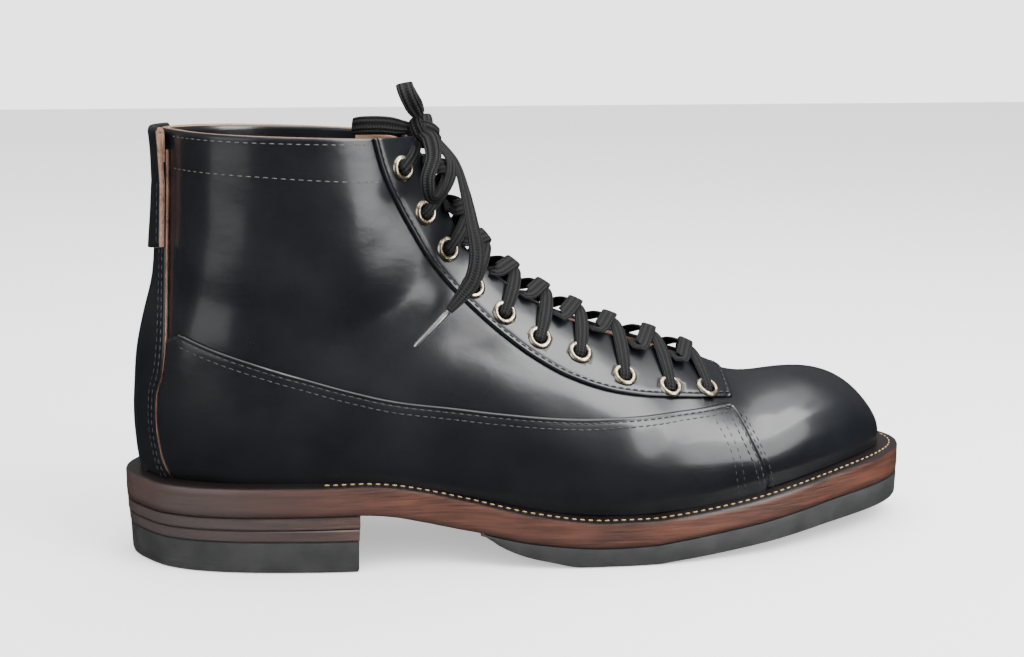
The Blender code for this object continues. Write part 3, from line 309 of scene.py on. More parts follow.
# The knot: the lace passed round itself in three short bands over a tight core.
bm = bmesh.new()
bmesh.ops.create_uvsphere(bm, u_segments=24, v_segments=16, radius=1.0)
bmesh.ops.scale(bm, verts=bm.verts, vec=[k * 0.80 for k in KNOT_SIZE])
bmesh.ops.translate(bm, verts=bm.verts, vec=KNOT)
for tilt, width, size in (((0.25, 0.2, 1.0), 0.0058, 0.95), ((0.9, -0.35, 0.75), 0.0056, 1.02),
                          ((1.0, 0.3, 0.1), 0.0050, 0.93)):
    axis = Vector(tilt).normalized()
    a = axis.orthogonal().normalized()
    b = axis.cross(a)
    band = []
    for i in range(41):
        angle = 2 * math.pi * i / 40
        out = a * math.cos(angle) + b * math.sin(angle)
        reach = size / math.sqrt(sum((out[k] / KNOT_SIZE[k]) ** 2 for k in range(3)))
        band.append((*(KNOT + out * reach + axis * 0.0006 * math.sin(2 * angle)), *out))
    band = np.array(band)
    flat_lace(bm, band[:, :3], band[:, 3:], np.full(41, width), 0.0015)
knot = place("knot_woven", bm, [lace_finish], ["lace_knot"])


# Upper: one round-toed last gives every sheet of the boot its shape. Planes that all hold the Y direction
# swing from the toe (0) over the instep and round the heel (17) up to the collar (24).
OUTSOLE_LENGTH = 0.3125
COLLAR_HEIGHT = 0.1625
BALL_WIDTH = 0.0822
ANKLE_WIDTH = 0.0670
GAP = 0.0003
SEAT_HEIGHT = 0.0330
WELT_MARGIN = 0.0080
THROAT_HALF = 0.0100


# Plan of the upper where it meets the sole: shares of OUTSOLE_LENGTH and of BALL_WIDTH.
Plan = namedtuple("Plan", "along outer inner")
PLAN = (
    Plan(0.0240, 0.000, 0.000),
    Plan(0.0420, -0.152, 0.146),
    Plan(0.0640, -0.243, 0.233),
    Plan(0.0992, -0.314, 0.302),
    Plan(0.1632, -0.373, 0.361),
    Plan(0.2080, -0.392, 0.377),
    Plan(0.2560, -0.403, 0.371),
    Plan(0.3200, -0.393, 0.325),
    Plan(0.3680, -0.381, 0.295),
    Plan(0.4160, -0.395, 0.301),
    Plan(0.4800, -0.450, 0.361),
    Plan(0.5440, -0.480, 0.440),
    Plan(0.6080, -0.490, 0.495),
    Plan(0.6592, -0.483, 0.513),
    Plan(0.7104, -0.457, 0.508),
    Plan(0.7680, -0.416, 0.487),
    Plan(0.8192, -0.357, 0.455),
    Plan(0.8576, -0.292, 0.418),
    Plan(0.8960, -0.222, 0.362),
    Plan(0.9280, -0.150, 0.302),
    Plan(0.9520, -0.078, 0.235),
    Plan(0.9670, -0.012, 0.171),
    Plan(0.9744, 0.080, 0.080),
)

# Side view of the sole: shares of OUTSOLE_LENGTH and of SEAT_HEIGHT. top is the face under the upper,
# border is where leather meets rubber, ground is the walking face. margin is a share of WELT_MARGIN.
Side = namedtuple("Side", "along top border ground margin")
SIDE = (
    Side(0.000, 1.000, 0.660, 0.000, 0.94),
    Side(0.200, 1.000, 0.660, 0.000, 0.88),
    Side(0.282, 0.998, 0.655, 0.000, 0.88),
    Side(0.320, 0.967, 0.618, 0.600, 0.88),
    Side(0.352, 0.906, 0.545, 0.525, 0.90),
    Side(0.384, 0.833, 0.470, 0.450, 0.92),
    Side(0.413, 0.770, 0.415, 0.392, 0.96),
    Side(0.426, 0.742, 0.395, 0.366, 0.98),
    Side(0.451, 0.694, 0.350, 0.225, 1.02),
    Side(0.480, 0.639, 0.305, 0.120, 1.06),
    Side(0.509, 0.597, 0.275, 0.060, 1.09),
    Side(0.545, 0.550, 0.245, 0.000, 1.11),
    Side(0.575, 0.532, 0.232, 0.000, 1.11),
    Side(0.635, 0.532, 0.245, 0.000, 1.11),
    Side(0.659, 0.552, 0.272, 0.022, 1.11),
    Side(0.710, 0.597, 0.324, 0.064, 1.11),
    Side(0.768, 0.667, 0.385, 0.118, 1.10),
    Side(0.826, 0.745, 0.452, 0.170, 1.02),
    Side(0.870, 0.800, 0.498, 0.204, 1.00),
    Side(0.912, 0.851, 0.527, 0.226, 1.00),
    Side(0.944, 0.876, 0.538, 0.236, 1.00),
    Side(1.000, 0.909, 0.548, 0.242, 1.00),
)

# Planes of the upper. back_along and front_along are shares of OUTSOLE_LENGTH, back_up and front_up of
# COLLAR_HEIGHT (back_up 0 means that the plane ends on the sole). outer and inner are how far the sides
# stand out from the plan where they are fullest, as shares of ANKLE_WIDTH; full_at is how far up the plane
# that is, crown squares the top and lean draws its shoulders in.
Fan = namedtuple("Fan", "back_along back_up front_along front_up outer inner full_at crown lean")
FAN = (
    Fan(0.9744, 0.000, 0.9744, 0.216, 0.000, 0.000, 0.24, 2.6, 0.00),
    Fan(0.9690, 0.000, 0.9690, 0.245, 0.006, 0.006, 0.24, 2.6, 0.00),
    Fan(0.9560, 0.000, 0.9560, 0.284, 0.012, 0.012, 0.24, 2.6, 0.00),
    Fan(0.9350, 0.000, 0.9350, 0.332, 0.016, 0.016, 0.24, 2.6, 0.00),
    Fan(0.9070, 0.000, 0.9070, 0.367, 0.020, 0.019, 0.24, 2.5, 0.00),
    Fan(0.8700, 0.000, 0.8704, 0.383, 0.024, 0.023, 0.24, 2.4, 0.00),
    Fan(0.8280, 0.000, 0.8320, 0.378, 0.027, 0.026, 0.25, 2.3, 0.05),
    Fan(0.7870, 0.000, 0.7936, 0.368, 0.030, 0.029, 0.26, 2.2, 0.12),
    Fan(0.7390, 0.000, 0.7550, 0.380, 0.034, 0.034, 0.28, 2.1, 0.22),
    Fan(0.6650, 0.000, 0.7040, 0.430, 0.039, 0.041, 0.30, 2.0, 0.30),
    Fan(0.5790, 0.000, 0.6530, 0.468, 0.042, 0.055, 0.30, 2.0, 0.30),
    Fan(0.4860, 0.000, 0.6020, 0.504, 0.045, 0.088, 0.30, 2.0, 0.26),
    Fan(0.3870, 0.000, 0.5500, 0.549, 0.056, 0.118, 0.30, 2.0, 0.22),
    Fan(0.2820, 0.000, 0.5055, 0.601, 0.058, 0.105, 0.30, 2.0, 0.20),
    Fan(0.1660, 0.000, 0.4700, 0.654, 0.042, 0.060, 0.30, 2.0, 0.16),
    Fan(0.0768, 0.000, 0.4480, 0.694, 0.036, 0.040, 0.33, 2.0, 0.12),
    Fan(0.0370, 0.000, 0.4370, 0.718, 0.036, 0.040, 0.36, 2.0, 0.10),
    Fan(0.0240, 0.203, 0.4270, 0.743, 0.036, 0.040, 0.38, 2.0, 0.08),
    Fan(0.0205, 0.266, 0.4175, 0.773, 0.034, 0.038, 0.41, 2.0, 0.06),
    Fan(0.0180, 0.345, 0.4090, 0.807, 0.030, 0.034, 0.44, 2.0, 0.04),
    Fan(0.0235, 0.456, 0.3994, 0.844, 0.024, 0.028, 0.46, 2.0, 0.02),
    Fan(0.0400, 0.585, 0.3878, 0.884, 0.022, 0.028, 0.48, 2.0, 0.00),
    Fan(0.0550, 0.714, 0.3770, 0.920, 0.028, 0.034, 0.49, 2.0, 0.00),
    Fan(0.0615, 0.856, 0.3680, 0.948, 0.036, 0.042, 0.50, 2.0, 0.00),
    Fan(0.0652, 1.012, 0.3616, 0.972, 0.046, 0.052, 0.50, 2.0, 0.00),
    Fan(0.0665, 1.065, 0.3568, 1.005, 0.050, 0.056, 0.50, 2.0, 0.00),
)
HEEL_ROW = 17.0
HEEL_BLEND = 3.0
COLLAR_ROW = 24.0
THROAT_ROW = 8.75
THROAT_ROUND = 0.7
EYESTAY_ROW = 8.02


# Middle line of the foot, along and across: it swings inward toward the toe.
MIDDLE = ((0.00, 0.0), (0.45, 0.0), (0.60, 0.018), (0.75, 0.044), (0.88, 0.068), (0.9744, 0.080))


def through(keys, values):
    """A smooth curve through points, which never overshoots them."""
    keys = np.asarray(keys, float)
    values = np.asarray(values, float)
    gaps = np.diff(keys)
    slopes = np.diff(values) / gaps
    tangents = np.zeros(len(keys))
    tangents[0] = slopes[0]
    tangents[-1] = slopes[-1]
    for i in range(1, len(keys) - 1):
        if slopes[i - 1] * slopes[i] > 0:
            a = 2 * gaps[i] + gaps[i - 1]
            b = gaps[i] + 2 * gaps[i - 1]
            tangents[i] = (a + b) / (a / slopes[i - 1] + b / slopes[i])

    def at(key):
        key = min(max(key, keys[0]), keys[-1])
        i = min(int(np.searchsorted(keys, key, side="right")) - 1, len(keys) - 2)
        i = max(i, 0)
        s = (key - keys[i]) / gaps[i]
        return float((1 + 2 * s) * (1 - s) ** 2 * values[i] + s * (1 - s) ** 2 * gaps[i] * tangents[i]
                     + s * s * (3 - 2 * s) * values[i + 1] + s * s * (s - 1) * gaps[i] * tangents[i + 1])
    return at


def column(rows, key, name, key_size, size):
    return through([getattr(r, key) * key_size for r in rows], [getattr(r, name) * size for r in rows])


# The plan is smoothed over the angle of a circle drawn on its length, so that heel and toe close round.
HEEL_TIP = PLAN[0].along * OUTSOLE_LENGTH
TOE_TIP = PLAN[-1].along * OUTSOLE_LENGTH


def plan_angle(x):
    share = (x - HEEL_TIP) / (TOE_TIP - HEEL_TIP)
    return math.acos(1 - 2 * min(max(share, 0.0), 1.0))


angles = [plan_angle(r.along * OUTSOLE_LENGTH) for r in PLAN]
plan_outer = through(angles, [r.outer * BALL_WIDTH for r in PLAN])
plan_inner = through(angles, [r.inner * BALL_WIDTH for r in PLAN])
middle = through([m[0] * OUTSOLE_LENGTH for m in MIDDLE], [m[1] * BALL_WIDTH for m in MIDDLE])
seat = column(SIDE, "along", "top", OUTSOLE_LENGTH, SEAT_HEIGHT)
border = column(SIDE, "along", "border", OUTSOLE_LENGTH, SEAT_HEIGHT)
ground = column(SIDE, "along", "ground", OUTSOLE_LENGTH, SEAT_HEIGHT)
margin = column(SIDE, "along", "margin", OUTSOLE_LENGTH, WELT_MARGIN)


def plan_at(x, side):
    """Half width of the foot's plan from the middle line; side is -1 outside, 1 inside."""
    edge = plan_outer if side < 0 else plan_inner
    return max(side * (edge(plan_angle(x)) - middle(x)), 0.0)


fan_rows = list(range(len(FAN)))
back_along = through(fan_rows, [r.back_along * OUTSOLE_LENGTH for r in FAN])
front_along = through(fan_rows, [r.front_along * OUTSOLE_LENGTH for r in FAN])
front_up = through(fan_rows, [r.front_up * COLLAR_HEIGHT for r in FAN])
shaft_rows = [i for i in fan_rows if i >= HEEL_ROW]
shaft_up = through(shaft_rows, [max(FAN[i].back_up * COLLAR_HEIGHT, SEAT_HEIGHT + GAP) for i in shaft_rows])
fan_outer = through(fan_rows, [r.outer * ANKLE_WIDTH for r in FAN])
fan_inner = through(fan_rows, [r.inner * ANKLE_WIDTH for r in FAN])
fan_full = through(fan_rows, [r.full_at for r in FAN])
fan_crown = through(fan_rows, [r.crown for r in FAN])
fan_lean = through(fan_rows, [r.lean for r in FAN])


def plane_ends(u):
    """Back and front point of a plane, in side view."""
    x = back_along(u)
    z = shaft_up(u) if u >= HEEL_ROW else seat(x) + GAP
    return (x, z), (front_along(u), front_up(u))


def heel_share(u):
    """0 over the foot, 1 from the heel's corner up: how far a plane's back end is rounded."""
    return min(max((u - HEEL_ROW + HEEL_BLEND) / HEEL_BLEND, 0.0), 1.0)


def half_width(u, t, side):
    """Half width at share t of plane u: the foot's plan low down, then the rounded top."""
    (x0, z0), (x1, z1) = plane_ends(u)
    shift = x0 - HEEL_TIP if u > HEEL_ROW else 0.0
    at = fan_full(u)
    full = plan_at(x0 + (x1 - x0) * at - shift, side) + (fan_outer(u) if side < 0 else fan_inner(u))
    if t < at:
        base = plan_at(x0 + (x1 - x0) * t - shift, side)
        rise = t / at
        round_in = rise * rise * (3 - 2 * rise)
        bulge = rise * (2 - rise)
        return base + (full - base) * (bulge + (round_in - bulge) * heel_share(u))
    rise = min((t - at) / (1 - at), 1.0)
    return full * math.sqrt(max(1 - rise ** fan_crown(u), 0.0)) * (1 - fan_lean(u) * rise ** 2)


def climb(u, s):
    """Share of the way up plane u for an even step s round it: 0 back, 0.5 fullest, 1 front."""
    at = fan_full(u)
    if s < 0.5:
        bend = heel_share(u)
        return at * ((1 - bend) * 2 * s + bend * (1 - math.cos(math.pi * s)))
    return at + (1 - at) * math.sin(math.pi * (s - 0.5))


def side_view(u, s):
    (x0, z0), (x1, z1) = plane_ends(u)
    t = climb(u, s)
    return x0 + (x1 - x0) * t, z0 + (z1 - z0) * t


def fan(u, s, side):
    """A point of the upper's outer face: plane u, step s round it, side -1 or 1."""
    x, z = side_view(u, s)
    return Vector((x, middle(x) + side * half_width(u, climb(u, s), side), z))


def bisect(test, low, high):
    """The value where test changes from false to true."""
    for _ in range(40):
        mid = (low + high) / 2
        if test(mid):
            high = mid
        else:
            low = mid
    return (low + high) / 2


def locate(x, z):
    """The plane and step of a point in side view."""
    def past(u):
        (x0, z0), (x1, z1) = plane_ends(u)
        return (x1 - x0) * (z - z0) - (z1 - z0) * (x - x0) < 0

    u = bisect(past, 0.0, len(FAN) - 1.0)
    (x0, z0), (x1, z1) = plane_ends(u)
    run = (x1 - x0) ** 2 + (z1 - z0) ** 2
    share = ((x - x0) * (x1 - x0) + (z - z0) * (z1 - z0)) / run
    return u, bisect(lambda s: climb(u, s) > share, 0.0, 1.0)


def throat_gap(u):
    """Half width of the open throat; round at its lower end."""
    if u <= THROAT_ROW:
        return 0.0
    return THROAT_HALF * math.sqrt(1 - (1 - min((u - THROAT_ROW) / THROAT_ROUND, 1.0)) ** 2)


def throat_step(u, side):
    gap = throat_gap(u)
    if gap <= 0:
        return 1.0
    return bisect(lambda s: half_width(u, climb(u, s), side) < gap, 0.5, 1.0)


# The upper's outer face as one ring of points for each plane, running from the outer side's foot over
# the top (0) to the inner side's foot (-1 and 1). Smoothed along the boot, then worked below.
ROW_STEP = 0.125
COLUMNS = 64
row_keys = np.arange(0, 24.76, ROW_STEP)
skin_points = np.empty((len(row_keys), 2 * COLUMNS + 1, 3))
for r, u in enumerate(row_keys):
    for c in range(COLUMNS + 1):
        for side, column_at in ((-1, c), (1, 2 * COLUMNS - c)):
            skin_points[r, column_at] = fan(u, c / COLUMNS, side)
skin_points[:, :, 0] -= HEEL_MIDDLE


def soften(points, width):
    """Even out the rows along the boot, keeping both ends where they are."""
    reach = int(width * 3)
    weights = np.exp(-0.5 * (np.arange(-reach, reach + 1) / width) ** 2)
    weights /= weights.sum()
    padded = np.concatenate([2 * points[:1] - points[reach:0:-1], points,
                             2 * points[-1:] - points[-2:-2 - reach:-1]])
    return sum(w * padded[i:i + len(points)] for i, w in enumerate(weights))


heel_index = int(HEEL_ROW / ROW_STEP)
even = soften(skin_points, 4.0)
split = np.concatenate([soften(skin_points[:heel_index + 1], 4.0),
                        soften(skin_points[heel_index:], 4.0)[1:]])
from_top = np.abs(np.linspace(-1, 1, 2 * COLUMNS + 1))
near_foot = np.clip((from_top - 0.80) / 0.20, 0, 1)[None, :, None] ** 2
skin_points = even * (1 - near_foot) + split * near_foot


def widen(points):
    """Two more columns past each foot: on round the back from the heel up, else straight on."""
    closed = (row_keys >= HEEL_ROW)[:, None, None]
    low = np.where(closed, points[:, -3:-1], 2 * points[:, :1] - points[:, 2:0:-1])
    high = np.where(closed, points[:, 1:3], 2 * points[:, -1:] - points[:, -2:-4:-1])
    wide = np.concatenate([low, points, high], 1)
    return np.concatenate([2 * wide[:1] - wide[2:0:-1], wide, 2 * wide[-1:] - wide[-2:-4:-1]])


def cubic(t):
    """Weights of four neighbours for a smooth reading between the middle two, and their slopes."""
    value = (-0.5 * t ** 3 + t ** 2 - 0.5 * t, 1.5 * t ** 3 - 2.5 * t ** 2 + 1,
             -1.5 * t ** 3 + 2 * t ** 2 + 0.5 * t, 0.5 * t ** 3 - 0.5 * t ** 2)
    slope = (-1.5 * t ** 2 + 2 * t - 0.5, 4.5 * t ** 2 - 5 * t, -4.5 * t ** 2 + 4 * t + 0.5, 1.5 * t ** 2 - t)
    return value, slope


def skin(u, v):
    """Points and outward normals of the upper's face; v is -1 or 1 at the feet and 0 on top."""
    u, v = np.broadcast_arrays(np.asarray(u, float), np.asarray(v, float))
    row = np.clip(u / ROW_STEP, 0, len(row_keys) - 1.001)
    col = np.clip((v + 1) * COLUMNS, 0, 2 * COLUMNS - 0.001)
    i, j = row.astype(int), col.astype(int)
    (ru, du), (rv, dv) = cubic(row - i), cubic(col - j)
    point = along = across = 0
    for a in range(4):
        for b in range(4):
            p = skin_wide[i + a + 1, j + b + 1]
            point = point + (ru[a] * rv[b])[..., None] * p
            along = along + (du[a] * rv[b])[..., None] * p
            across = across + (ru[a] * dv[b])[..., None] * p
    normal = np.cross(across, along)
    normal /= np.maximum(np.linalg.norm(normal, axis=-1), 1e-12)[..., None]
    return point, normal


# Folds in the shoe's own sizes, in side view from the heel's back: soft troughs (below 0) and swells,
# each a line of (along, up) with its width and depth in metres. They mark where the ankle and the ball bend.
Fold = namedtuple("Fold", "line width depth side")
FOLDS = (
    Fold(((0.020, 0.104), (0.045, 0.099), (0.070, 0.092)), 0.0085, -0.0011, 0),
    Fold(((0.060, 0.088), (0.088, 0.086), (0.112, 0.097)), 0.0090, -0.0009, 0),
    Fold(((0.020, 0.125), (0.048, 0.121), (0.078, 0.124)), 0.0120, 0.0006, 0),
    Fold(((0.094, 0.150), (0.090, 0.118), (0.098, 0.095)), 0.0090, 0.0008, 0),
    Fold(((0.030, 0.150), (0.034, 0.120), (0.026, 0.090)), 0.0110, -0.0006, 0),
    Fold(((0.108, 0.088), (0.128, 0.083), (0.148, 0.086)), 0.0080, -0.0008, 0),
    Fold(((0.122, 0.066), (0.150, 0.060), (0.178, 0.063)), 0.0095, 0.0007, 0),
    Fold(((0.196, 0.040), (0.207, 0.050), (0.214, 0.061)), 0.0060, -0.0006, -1),
    Fold(((0.216, 0.034), (0.222, 0.047), (0.226, 0.060)), 0.0060, -0.0006, 1),
    Fold(((0.182, 0.036), (0.190, 0.050), (0.199, 0.064)), 0.0070, 0.0005, 0),
    Fold(((0.040, 0.060), (0.070, 0.052), (0.100, 0.054)), 0.0100, 0.0006, 0),
    Fold(((0.250, 0.052), (0.262, 0.050), (0.276, 0.044)), 0.0100, 0.0003, 0),
)


def distance(x, z, line):
    """Distance of points to a line in side view, and how far along it they are, 0 to 1."""
    best = np.full(x.shape, 1e9)
    where = np.zeros(x.shape)
    for i, (a, b) in enumerate(zip(line, line[1:])):
        dx, dz = b[0] - a[0], b[1] - a[1]
        raw = ((x - a[0]) * dx + (z - a[1]) * dz) / (dx * dx + dz * dz)
        t = np.clip(raw, 0, 1)
        far = np.hypot(x - a[0] - dx * t, z - a[1] - dz * t)
        nearer = far < best
        best = np.where(nearer, far, best)
        where = np.where(nearer, (i + t) / (len(line) - 1), where)
    return best, where


def ripple(x, y, z):
    """The slow unevenness of leather pulled over a last, in metres."""
    waves = 0.0
    for i, (kx, ky, kz, turn, height) in enumerate((
            (70, 30, 95, 0.4, 0.00016), (130, 55, 60, 1.9, 0.00011), (45, 80, 150, 3.1, 0.00014),
            (190, 20, 120, 5.0, 0.00007), (90, 140, 210, 0.9, 0.00006), (240, 90, 160, 2.4, 0.00005))):
        waves = waves + height * np.sin(kx * x + ky * y + kz * z + turn + 1.3 * np.sin(0.45 * kx * z + i))
    return waves


skin_wide = widen(skin_points)
rows_all, columns_all = np.meshgrid(row_keys, np.linspace(-1, 1, 2 * COLUMNS + 1), indexing="ij")
worked, outward = skin(rows_all, columns_all)
side_x = worked[..., 0] + HEEL_MIDDLE
side_z = worked[..., 2]
shift = ripple(worked[..., 0], worked[..., 1], side_z)
for fold in FOLDS:
    far, where = distance(side_x, side_z, fold.line)
    strength = fold.depth * np.exp(-(far / fold.width) ** 2) * (0.35 + 0.65 * np.sin(np.pi * where) ** 0.7)
    if fold.side:
        strength = strength * np.clip(0.5 + fold.side * columns_all * 3, 0, 1)
    shift = shift + strength * np.clip(np.abs(columns_all) * 4 - 0.2, 0, 1)
# Nothing moves at the feather edge or at the toe's tip.
hold = np.clip((1 - np.abs(columns_all)) / 0.10, 0, 1)
hold = np.where(rows_all > HEEL_ROW + 0.5, 1, hold) * np.clip(rows_all / 1.5, 0, 1)
skin_wide = widen(skin_points + outward * (shift * hold)[..., None])


# Leather sheets: full-grain calf, dyed black with a faint blue cast and glazed, 1.5 to 2 mm thick, tan on
# its flesh side and at its cut edges. Each is cut from the last's own surface and laid on it.
def leather(name, dark, light, shine, grain=1.0):
    """Glazed calf: fine pores, a soft pull in the surface, and duller worn patches."""
    made = Finish(name, Coat_Weight=0.36, Coat_Roughness=0.16, Specular_IOR_Level=0.5)
    cloud = made.noise(0.035, 1.0)
    mottle = made.noise(0.006, 4.0)
    pores = made.noise(0.0009, 1.0, (1.0, 1.0, 0.8))
    pull = made.noise(0.0042, 2.0, (1.6, 1.6, 0.9))
    made.tint(cloud * 0.6 + mottle * 0.4, 0.35, 0.70, dark, light)
    made.set("Roughness", made.ramp(cloud, 0.35, 0.75) * 0.10 + shine)
    made.bump(pull * 0.9 + pores * (0.07 * grain), 0.00015, 0.7)
    return made


black_calf = leather("glazed_black_calf", (0.0034, 0.0041, 0.0058), (0.0058, 0.0068, 0.0092), 0.27)
panel_calf = leather("black_calf_panel", (0.0038, 0.0044, 0.0060), (0.0064, 0.0073, 0.0096), 0.28, 1.2)
raw_edge = Finish("raw_cut_edge", Roughness=0.78)
edge_fibre = raw_edge.noise(0.0005, 4.0, (1, 1, 2.5))
edge_place = raw_edge.node("ShaderNodeTexCoord", {}, {}, 3)
edge_height = raw_edge.node("ShaderNodeSeparateXYZ", {}, {0: edge_place}, 2)
edge_color = raw_edge.mix(raw_edge.ramp(edge_fibre + raw_edge.noise(0.006) * 0.6, 0.55, 1.0),
                          (0.085, 0.040, 0.026), (0.275, 0.150, 0.105))
# Painted shade: below about 35 mm, along the crease where the upper's foot meets the welt, the cut edge is
# painted near black; higher up it is tan.
raw_edge.tint(edge_height, 0.0345, 0.0375, (0.008, 0.007, 0.007), edge_color)
raw_edge.bump(edge_fibre, 0.0003, 0.6)
dyed_edge = Finish("dyed_cut_edge", Roughness=0.55)
dyed_edge.tint(dyed_edge.noise(0.004), 0.5, 0.75, (0.008, 0.008, 0.009), (0.045, 0.026, 0.020))
dyed_edge.bump(dyed_edge.noise(0.0006), 0.0002, 0.6)
lining = Finish("tan_lining", Roughness=0.62, Coat_Weight=0.05)
lining_grain = lining.noise(0.0007, 4.0)
lining.tint(lining.noise(0.018, 4.0) * 0.7 + lining_grain * 0.3, 0.38, 0.66,
            (0.27, 0.15, 0.085), (0.46, 0.29, 0.18))
lining.bump(lining_grain, 0.0003, 0.5)

UPPER_WALL = 0.0020
SEAM_ROW = 0.0019
NEAR_EDGE = np.array((0, 0.25, 0.5, 0.8, 1.1, 1.5, 1.9, 2.4, 3.0, 4.0, 5.5)) / 1000


def cut_marks(length, count):
    """Distances across a sheet, close together by its two cut edges."""
    near = NEAR_EDGE * min(1.0, 0.45 * length / NEAR_EDGE[-1])
    return np.r_[near[:-1], np.linspace(near[-1], length - near[-1], count), length - near[-2::-1]]


def cut_sheet(bm, rows, side, low, high, lift, rolled=(0, 0), stitched=(0, 0), count=16, thick=0.0015,
              first_edge=0.0):
    """Lay a sheet on the last, lifted by lift metres: rows of planes, each from v low(u) to high(u) on
    the outer side, or the other way round on the inner one. rolled is how far its two cut edges are
    turned down, stitched how deep the seam beside each is drawn in; first_edge is how far apart the
    planes are where the first of them is a cut edge too."""
    if side > 0:
        low, high, rolled, stitched = high, low, rolled[::-1], stitched[::-1]
    u_all, v_all, d_low, d_high = [], [], [], []
    for u in rows:
        a, b = low(u), high(u)
        fine = np.linspace(a, b, 33)
        points, _ = skin(np.full(33, u), fine)
        run = np.r_[0, np.cumsum(np.linalg.norm(np.diff(points, axis=0), axis=1))]
        length = max(run[-1], 1e-7)
        marks = cut_marks(length, count)
        v_all.append(np.interp(marks, run, fine))
        u_all.append(np.full(len(marks), u))
        d_low.append(marks)
        d_high.append(length - marks)
    u_all, v_all, d_low, d_high = (np.array(k) for k in (u_all, v_all, d_low, d_high))
    points, normals = skin(u_all, v_all)
    up = np.full(u_all.shape, float(lift))
    for d, roll, sewn in ((d_low, rolled[0], stitched[0]), (d_high, rolled[1], stitched[1])):
        roll = np.array([roll(u) if callable(roll) else roll for u in rows])[:, None]
        up = up - roll * 0.38 * thick * np.exp(-(d / 0.00045) ** 2)
        up = up - sewn * np.exp(-((d - SEAM_ROW) / 0.00055) ** 2)
    if first_edge:
        up = up - 0.38 * thick * np.exp(-((u_all - rows[0]) * first_edge / 0.00045) ** 2)
        up = up - 0.00022 * np.exp(-(((u_all - rows[0]) * first_edge - SEAM_ROW) / 0.00055) ** 2)
    points = points + normals * up[..., None]
    lay_grid(bm, points)


def thicken(obj, thickness, inside=0, edge=0):
    """Give a laid sheet its thickness; inside and edge are places in its list of finishes."""
    wall = obj.modifiers.new("thickness", "SOLIDIFY")
    wall.thickness = thickness
    wall.offset = -1.0
    wall.material_offset = inside
    wall.material_offset_rim = edge
    wall.use_quality_normals = True


throat_of = {}


def throat(side):
    """v of the throat's edge on one side, at any plane."""
    if side not in throat_of:
        keys = [0.0, THROAT_ROW] + [THROAT_ROW + THROAT_ROUND * k ** 2 for k in np.linspace(0.08, 1, 12)]
        keys += list(np.arange(THROAT_ROW + THROAT_ROUND + 0.3, 24.7, 0.3))
        throat_of[side] = (keys, [side * (1 - throat_step(min(k, 24.6), side)) for k in keys])
    keys, values = throat_of[side]
    return lambda u: float(np.interp(u, keys, values))


# Places in side view, as shares of OUTSOLE_LENGTH and of COLLAR_HEIGHT.
Seam = namedtuple("Seam", "along up")
# Middles of the eyelets in side view, from the top pair down.
EYELETS = (
    Seam(0.341, 0.914), Seam(0.368, 0.811), Seam(0.394, 0.722), Seam(0.422, 0.636), Seam(0.461, 0.573),
    Seam(0.504, 0.513), Seam(0.554, 0.474), Seam(0.608, 0.421), Seam(0.666, 0.392), Seam(0.716, 0.376),
)
# The holes sit this much below those places.
EYELET_DROP = 0.0012
# Both sheets are punched at the eyelets before they get their thickness.
eyelets = []
for side in (-1, 1):
    for spot in EYELETS:
        u, s = locate(spot.along * OUTSOLE_LENGTH, spot.up * COLLAR_HEIGHT - EYELET_DROP)
        point, normal = skin(u, side * (1 - s))
        eyelets.append((side, u, s, Vector(point), Vector(normal)))


def punch(bm, radius=0.0037):
    """Punch the eyelet holes in a sheet and draw each hole's edge to a circle."""
    cut_edge = {v for v in bm.verts if v.is_boundary}
    for _, _, _, spot, normal in eyelets:

        def off_axis(point):
            away = point - spot
            return away - normal * away.dot(normal)

        near = [v for v in bm.verts if (v.co - spot).length < radius + 0.004]
        faces = {f for v in near for f in v.link_faces}
        gone = [f for f in faces if off_axis(f.calc_center_median()).length < radius]
        ring = {v for f in gone for v in f.verts}
        bmesh.ops.delete(bm, geom=gone, context="FACES")
        for v in ring:
            if v.is_valid and v not in cut_edge:
                away = off_axis(v.co)
                v.co += away.normalized() * (radius - away.length)


def open_above(u):
    """1 on the planes where the throat is open, and its edge is a cut one."""
    return 1.0 if u > THROAT_ROW + 0.05 else 0.0


def foot_edge(side):
    return lambda u: float(side)


throat_end = THROAT_ROW + THROAT_ROUND
throat_curve = THROAT_ROW + THROAT_ROUND * np.linspace(0.1, 1, 9) ** 2
upper_rows = np.r_[np.linspace(0, THROAT_ROW, 76), throat_curve,
                   np.linspace(throat_end + 0.12, COLLAR_ROW, 118)]
bm = bmesh.new()
for side in (-1, 1):
    cut_sheet(bm, upper_rows, side, foot_edge(side), throat(side), 0.0, (0, open_above), count=34)
bmesh.ops.remove_doubles(bm, verts=bm.verts, dist=0.00002)
punch(bm)
upper = place("vamp_and_quarters", bm, [black_calf, lining, raw_edge], ["upper"])
thicken(upper, UPPER_WALL, inside=1, edge=2)

# Side panels: one low piece of calf on each side, from the seam behind the toe back to the stay. Their top
# edge is turned in and sewn with two rows.
FOXING_SEAM = (
    Seam(0.040, 0.580), Seam(0.106, 0.530), Seam(0.160, 0.492), Seam(0.218, 0.452), Seam(0.275, 0.418),
    Seam(0.333, 0.390), Seam(0.390, 0.374), Seam(0.451, 0.357), Seam(0.570, 0.337), Seam(0.672, 0.335),
    Seam(0.742, 0.338), Seam(0.763, 0.262), Seam(0.778, 0.200), Seam(0.786, 0.155), Seam(0.800, 0.130),
)
